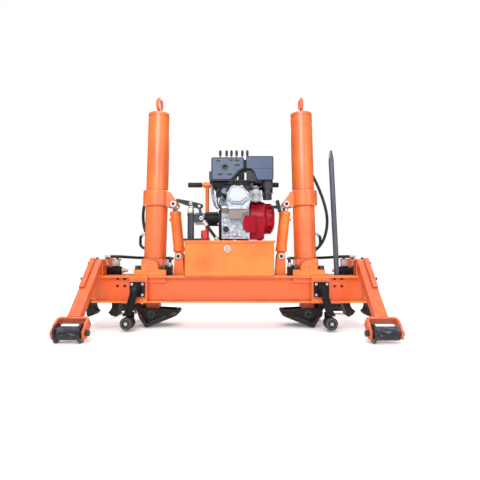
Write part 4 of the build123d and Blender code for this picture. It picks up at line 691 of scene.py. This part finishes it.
# Hydraulic fittings at the beam's ends: a plug on the port block, an adapter on the clamp cylinder's
# inner end and a nut on its top
CLAMP_INNER_X, CLAMP_Z, CLAMP_NUT_X, CLAMP_NUT_Z = 648, 326, 744, 350
PORT_X, PORT_FACE_Y, PORT_Z = 682, -18, 372
PORT_PLUG = [(0, 16), (6, 16), (7, 19), (14, 19), (15, 17), (19, 17)]
fittings = Builder()
for side in (LEFT, RIGHT):
    port, clamp = (side * PORT_X, PORT_FACE_Y, PORT_Z), (side * CLAMP_INNER_X, 0, CLAMP_Z)
    fittings.lathe(PORT_PLUG, port, FORWARD)
    fittings.lathe([(19, 10), (24, 10)], port, FORWARD, 6)
    fittings.lathe([(0, 17), (12, 17)], clamp, (-side, 0, 0), 6)
    fittings.lathe([(12, 11), (26, 11), (27, 9), (34, 9)], clamp, (-side, 0, 0), 20)
    fittings.lathe([(0, 13), (9, 13), (10, 11)], (side * CLAMP_NUT_X, 0, CLAMP_NUT_Z), UP, 6)
fittings.piece("end_fittings", zinc, "base", "steel")

# Weld beads where plates meet, given for the right rear corner: start, end and radius
ON_BEAM = BEAM_TOP + 1
CORNER_BEADS = [
    ((721, POST_FACE, 303), (721, POST_FACE, 372), 3.0),
    ((783, POST_FACE, 303), (783, POST_FACE, 372), 3.0),
    ((721, POST_FACE + 1, ON_BEAM), (783, POST_FACE + 1, ON_BEAM), 3.0),
    ((463, WEB_FACE + 1.5, 162), (463, WEB_FACE + 1.5, 286), 3.0),
    ((566, WEB_FACE + 1.5, 162), (566, WEB_FACE + 1.5, 286), 3.0),
    ((270, 49, ON_BEAM), (330, 49, ON_BEAM), 3.0),
    ((361, POST_FACE + 1, ON_BEAM), (543, POST_FACE + 1, ON_BEAM), 2.2),
    ((292, WEB_FACE + 0.5, 165), (292, WEB_FACE + 0.5, 287), 1.8),
    ((352, WEB_FACE + 0.5, 287), (352, WEB_FACE + 0.5, 260), 1.8),
    ((358, WEB_FACE + 0.5, 256), (446, WEB_FACE + 0.5, 256), 1.8),
    ((456, WEB_FACE + 0.5, 250), (460, WEB_FACE + 0.5, 222), 1.8),
]
LONG_BEADS = [
    ((-250, 151.5, ON_BEAM), (250, 151.5, ON_BEAM), 2.2),
    ((-460, WEB_FACE + 1, 163), (460, WEB_FACE + 1, 163), 2.6),
]
TANK_SIDE_BEAD = ((255.5, -144, ON_BEAM), (255.5, 144, ON_BEAM), 2.2)
welds = Builder()


def mirrored_bead(start, stop, radius, side=RIGHT, end=REAR):
    """A bead of the right rear corner, moved to another side or end."""
    near, far = [(side * x, end * y, z) for x, y, z in (start, stop)]
    welds.bead(near, far, radius)


for end, side in CORNERS:
    for bead in CORNER_BEADS:
        mirrored_bead(*bead, side=side, end=end)
for end in (FRONT, REAR):
    for bead in LONG_BEADS:
        mirrored_bead(*bead, end=end)
for side in (LEFT, RIGHT):
    mirrored_bead(*TANK_SIDE_BEAD, side=side)
welds.piece("weld_beads", orange, "base", "orange_paint", smooth=60)

# Engine screws: on the valve cover, round the fan cover, on the crankcase's side and on the mounts
HEAD_FRONT, COVER_FRONT = -140, -156
CRANK_Z, FAN_FACE_X, FAN_SCREW_R = 636, 214, 74
CASE_SIDE_X, CASE_FRONT = -64, -95
MOUNT_X, MOUNT_Y, MOUNT_TOP = (-8, 76), (-72, 82), 512
COVER_SCREWS = [(-4, 752), (-4, 770), (102, 752), (102, 770), (28, 717), (70, 717), (28, 806), (70, 806)]
CASE_SIDE_SCREWS = [(-60, 668), (60, 668), (-72, 600), (72, 600), (-62, 520), (62, 520)]
screws = Builder()
for x, z in COVER_SCREWS:
    screws.bolt((x, COVER_FRONT, z), FORWARD, 8, 5, 1.2)
for degrees in range(30, 390, 60):
    angle = math.radians(degrees)
    y, z = FAN_SCREW_R * math.cos(angle), CRANK_Z + FAN_SCREW_R * math.sin(angle)
    screws.bolt((FAN_FACE_X, y, z), (1, 0, 0), 9, 5, 1.2)
for y, z in CASE_SIDE_SCREWS:
    screws.bolt((CASE_SIDE_X, y, z), (-1, 0, 0), 10, 6, 1.4)
for x in MOUNT_X:
    for y in MOUNT_Y:
        screws.bolt((x, y, MOUNT_TOP), UP, 12, 8, 1.6)
screws.piece("engine_screws", zinc, "base", "steel")

# Crankcase's front: ribs (low x, high x, low z, high z and how far they stand out), bosses (x, z and
# radius) and screws (x and z)
CASE_RIBS = [(-46, 74, 512, 522, 7), (-46, -39, 522, 640, 5), (-38, 74, 606, 611, 4), (-1, 3, 522, 606, 4),
             (48, 52, 548, 606, 4), (66, 74, 522, 606, 5), (-38, -2, 634, 640, 4)]
CASE_BOSSES = [(-20, 566, 23), (26, 584, 12), (58, 532, 9), (-28, 618, 9), (26, 624, 8)]
CASE_SCREWS = [(-20, 584), (-36, 557), (-4, 557), (26, 584), (58, 532), (-28, 618)]
case_ribs = Builder()
for low_x, high_x, low_z, high_z, proud in CASE_RIBS:
    case_ribs.bar((low_x, high_x), (low_z, high_z), (CASE_FRONT - proud, CASE_FRONT + 1))
for x, z, radius in CASE_BOSSES:
    case_ribs.lathe([(-1, radius), (3.5, radius), (4.5, radius - 1)], (x, CASE_FRONT, z), FORWARD, 28)
case_ribs.piece("crankcase_ribs", engine_cast, "base", "silver_cast", bevel=0.8)
case_screws = Builder()
for x, z in CASE_SCREWS:
    case_screws.bolt((x, CASE_FRONT - 4, z), FORWARD, 7, 4, 1)
case_screws.piece("crankcase_screws", zinc, "base", "steel")

# Thin ribs on the head's front, with a bolt at each end
HEAD_RIB, HEAD_RIB_X, HEAD_RIBS_Z, HEAD_RIB_FACE = 3, (-12, 112), (814, 822, 830, 838), HEAD_FRONT - 5
HEAD_BOLTS = [(-6, 826), (106, 826)]
head_ribs = Builder()
for z in HEAD_RIBS_Z:
    head_ribs.bar(HEAD_RIB_X, (z, z + HEAD_RIB), (HEAD_RIB_FACE, HEAD_FRONT + 1))
for x, z in HEAD_BOLTS:
    head_ribs.bolt((x, HEAD_RIB_FACE, z), FORWARD, 10, 6, 1.2)
head_ribs.piece("head_ribs", black, "base", "black_paint", bevel=0.5)

# Spark plug with its lead, oil cap, fuel cap and fuel line; what is turned goes by its profile, place,
# axis and segments
LEAD = [(-44, -160, 762), (-56, -164, 762), (-66, -156, 752), (-70, -138, 730), (-66, -118, 706),
        (-58, -104, 690)]
FUEL_LINE = [(230, 30, 806), (236, 10, 796), (222, -20, 780), (200, -50, 768), (186, -70, 764)]
TURNED_RUBBER = [
    ([(0, 11), (8, 11), (9, 9), (22, 8.5), (24, 10), (46, 10), (50, 7)],
     (-22, -118, 752), (-0.5, -1, 0.25), 20),
    ([(0, 13), (10, 13), (12, 17), (24, 17), (27, 14)], (-20, -107, 566), FORWARD, 18),
    ([(0, 24), (16, 24), (18, 28), (34, 28), (38, 24)], (196, 82, 965), UP, 20),
]
plug = Builder()
for turned in TURNED_RUBBER:
    plug.lathe(*turned)
plug.tube(LEAD, 3.6)
plug.tube(FUEL_LINE, 4.5)
plug.piece("engine_rubber", plastic, "base", "black_plastic")

# Carburettor's bowl, throat flange and nut, and its levers and rods
CARBURETTOR_X = 152
BOWL = [(0, 8), (2, 16), (8, 22), (26, 24), (30, 27), (36, 27)]
carburettor = Builder()
carburettor.lathe(BOWL, (CARBURETTOR_X, -104, 724), UP)
carburettor.lathe([(0, 21), (5, 21), (6, 18), (12, 18)], (CARBURETTOR_X, -112, 780), FORWARD)
carburettor.lathe([(0, 7), (9, 7), (10, 5)], (CARBURETTOR_X, -128, 760), FORWARD, 6)
carburettor.piece("carburettor_details", cast, "base", "silver_cast")
LONG_LEVER = [(124, 796), (178, 806), (180, 812), (122, 803)]
SHORT_LEVER = [(120, 806), (134, 806), (138, 826), (130, 834), (118, 826)]
LEVER_RODS = [
    [(128, -120, 800), (116, -122, 812), (102, -120, 826), (70, -122, 832)],
    [(172, -118, 806), (186, -112, 816), (190, -100, 830)],
]
levers = Builder()
levers.plate(LONG_LEVER, (-122, -119))
levers.plate(SHORT_LEVER, (-126, -123))
for rod in LEVER_RODS:
    levers.tube(rod, 3)
levers.piece("carburettor_levers", dark_steel, "base", "dark_steel")

# Castings on the left of the cylinder head: a stepped lug with a boss, and a curved guard band
LUG = [(-66, 700), (-14, 700), (-14, 806), (-40, 806), (-52, 790), (-46, 764), (-60, 742)]
LUG_STEP = [(-60, 704), (-40, 704), (-40, 740), (-60, 734)]
GUARD_BAND = [(-112, 812), (-100, 812), (-94, 760), (-76, 704), (-62, 692), (-74, 684), (-92, 704),
              (-108, 756)]
side_cast = Builder()
side_cast.plate(LUG, (-104, -58))
side_cast.plate(LUG_STEP, (-112, -104))
side_cast.lathe([(0, 15), (14, 15), (16, 11)], (-30, -104, 776), FORWARD, 20)
side_cast.plate(GUARD_BAND, (-76, -64))
side_cast.piece("head_lug", lug_cast, "base", "silver_cast", bevel=1.5)

# Dark bracket under the muffler, with a rod in front of it
BRACKET = [(-116, 852), (8, 852), (46, 820), (-8, 806), (-30, 822), (-62, 806), (-78, 790), (-92, 800),
           (-98, 826), (-116, 836)]
BRACKET_ROD = [(-88, -100, 820), (-70, -108, 800), (-40, -108, 812), (-24, -104, 830)]
bracket = Builder()
bracket.plate(BRACKET, (-98, -60))
bracket.tube(BRACKET_ROD, 5)
bracket.piece("muffler_bracket", black, "base", "black_paint", bevel=1.0)

# Hand pump: gland nut and collar, pivots of the lever and its link, and the ferrule on its hose
TUBE_END = (HAND_X, HAND_Y, 656)
ROD_PIVOT = (HAND_X, HAND_Y - 12, 714)
LINK_X, LINK_Z = -160, 628
LINK_PIVOT = (LINK_X, -138, LINK_Z)
LEVER_PIVOT = (-172, -138, 697)
HOSE_MOUTH, HOSE_WAY = (LINK_X, HAND_Y, LINK_Z), (77, 0, -106)
HAND_FERRULE = [(16, 12), (20, 13), (30, 13), (31, 12), (36, 12), (37, 13), (50, 13), (52, 11)]
gland = Builder()
gland.lathe([(0, 17), (3, 19), (26, 19), (29, 17)], TUBE_END, UP, 6)
gland.lathe([(29, 14.5), (40, 14.5), (41, 13.5)], TUBE_END, UP)
gland.lathe([(0, 10), (3, 10), (4, 8.5)], ROD_PIVOT, FORWARD, 20)
gland.lathe([(0, 12), (2.5, 12), (3.5, 10.5)], LINK_PIVOT, FORWARD)
gland.lathe([(0, 8), (2.5, 8), (3.5, 7)], LEVER_PIVOT, FORWARD, 20)
gland.lathe(HAND_FERRULE, HOSE_MOUTH, HOSE_WAY)
gland.piece("hand_pump_fittings", zinc, "base", "steel")
link_stubs = Builder()
link_stubs.lathe([(3, 5.5), (6, 5.5), (7, 4.5)], LINK_PIVOT, FORWARD, 6)
link_stubs.lathe([(3, 5), (6, 5), (7, 4)], ROD_PIVOT, FORWARD, 6)
link_stubs.piece("hand_pump_pins", dark_steel, "base", "dark_steel")

# Background: the room is bright above and dim at the camera's side, and its wall is white
world = bpy.data.worlds.new("studio")
world.use_nodes = True
sky = world.node_tree
background = sky.nodes["Background"]
direction = sky.nodes.new("ShaderNodeSeparateXYZ")
sky.links.new(sky.nodes.new("ShaderNodeTexCoord").outputs["Generated"], direction.inputs["Vector"])
room = sky.nodes.new("ShaderNodeMath")
room.operation = "ADD"
sky.links.new(map_range(sky, direction.outputs["Y"], -0.9, 0.6, 0.20, 0.10), room.inputs[0])
sky.links.new(map_range(sky, direction.outputs["Z"], 0.2, 0.9, 0.0, 0.80), room.inputs[1])
wall = sky.nodes.new("ShaderNodeMix")
sky.links.new(sky.nodes.new("ShaderNodeLightPath").outputs["Is Camera Ray"], wall.inputs[FACTOR])
sky.links.new(room.outputs["Value"], wall.inputs[NUMBER_A])
wall.inputs[NUMBER_B].default_value = 1.0
sky.links.new(wall.outputs[NUMBER_OUT], background.inputs["Strength"])
background.inputs["Color"].default_value = (1, 1, 1, 1)
bpy.context.scene.world = world

# Lamps: name, place and size in metres, and watts
LAMP_TARGET = Vector((0, 0, 0.5))
LAMP_COLOUR = (0.93, 0.96, 1.0)
LAMPS = [
    ("key", (-0.5, -3.6, 2.4), (2.2, 1.6), 108),
    ("fill", (2.4, -2.6, 1.4), (1.4, 1.4), 22),
    ("back", (0.4, 3.0, 2.6), (2.0, 1.2), 70),
]
overhead = bpy.data.lights.new("overhead", "SUN")
overhead.energy = 1.2
overhead.angle = 1.4
bpy.context.collection.objects.link(bpy.data.objects.new("overhead", overhead))
for name, place, size, watts in LAMPS:
    data = bpy.data.lights.new(name, "AREA")
    data.shape = "RECTANGLE"
    data.size, data.size_y = size
    data.energy = watts
    data.color = LAMP_COLOUR
    lamp = bpy.data.objects.new(name, data)
    lamp.location = place
    lamp.rotation_euler = (LAMP_TARGET - Vector(place)).to_track_quat("-Z", "Y").to_euler()
    bpy.context.collection.objects.link(lamp)

# White floor that glows a little, so that it ends up as white as the wall
FLOOR_HALF_M = 30
floor_mesh = bpy.data.meshes.new("floor")
corners = [(x * FLOOR_HALF_M, y * FLOOR_HALF_M, 0) for x, y in ((-1, -1), (1, -1), (1, 1), (-1, 1))]
floor_mesh.from_pydata(corners, [], [(0, 1, 2, 3)])
floor = bpy.data.objects.new("floor", floor_mesh)
bpy.context.collection.objects.link(floor)
floor_finish = Finish("floor", (0.90, 0.90, 0.90))
floor_finish.shader.inputs["Emission Color"].default_value = (1, 1, 1, 1)
floor_finish.shader.inputs["Emission Strength"].default_value = 0.16
floor_finish.vary("Roughness", floor_finish.noise(3.0), 0.85, 0.95)
floor_mesh.materials.append(floor_finish.material)
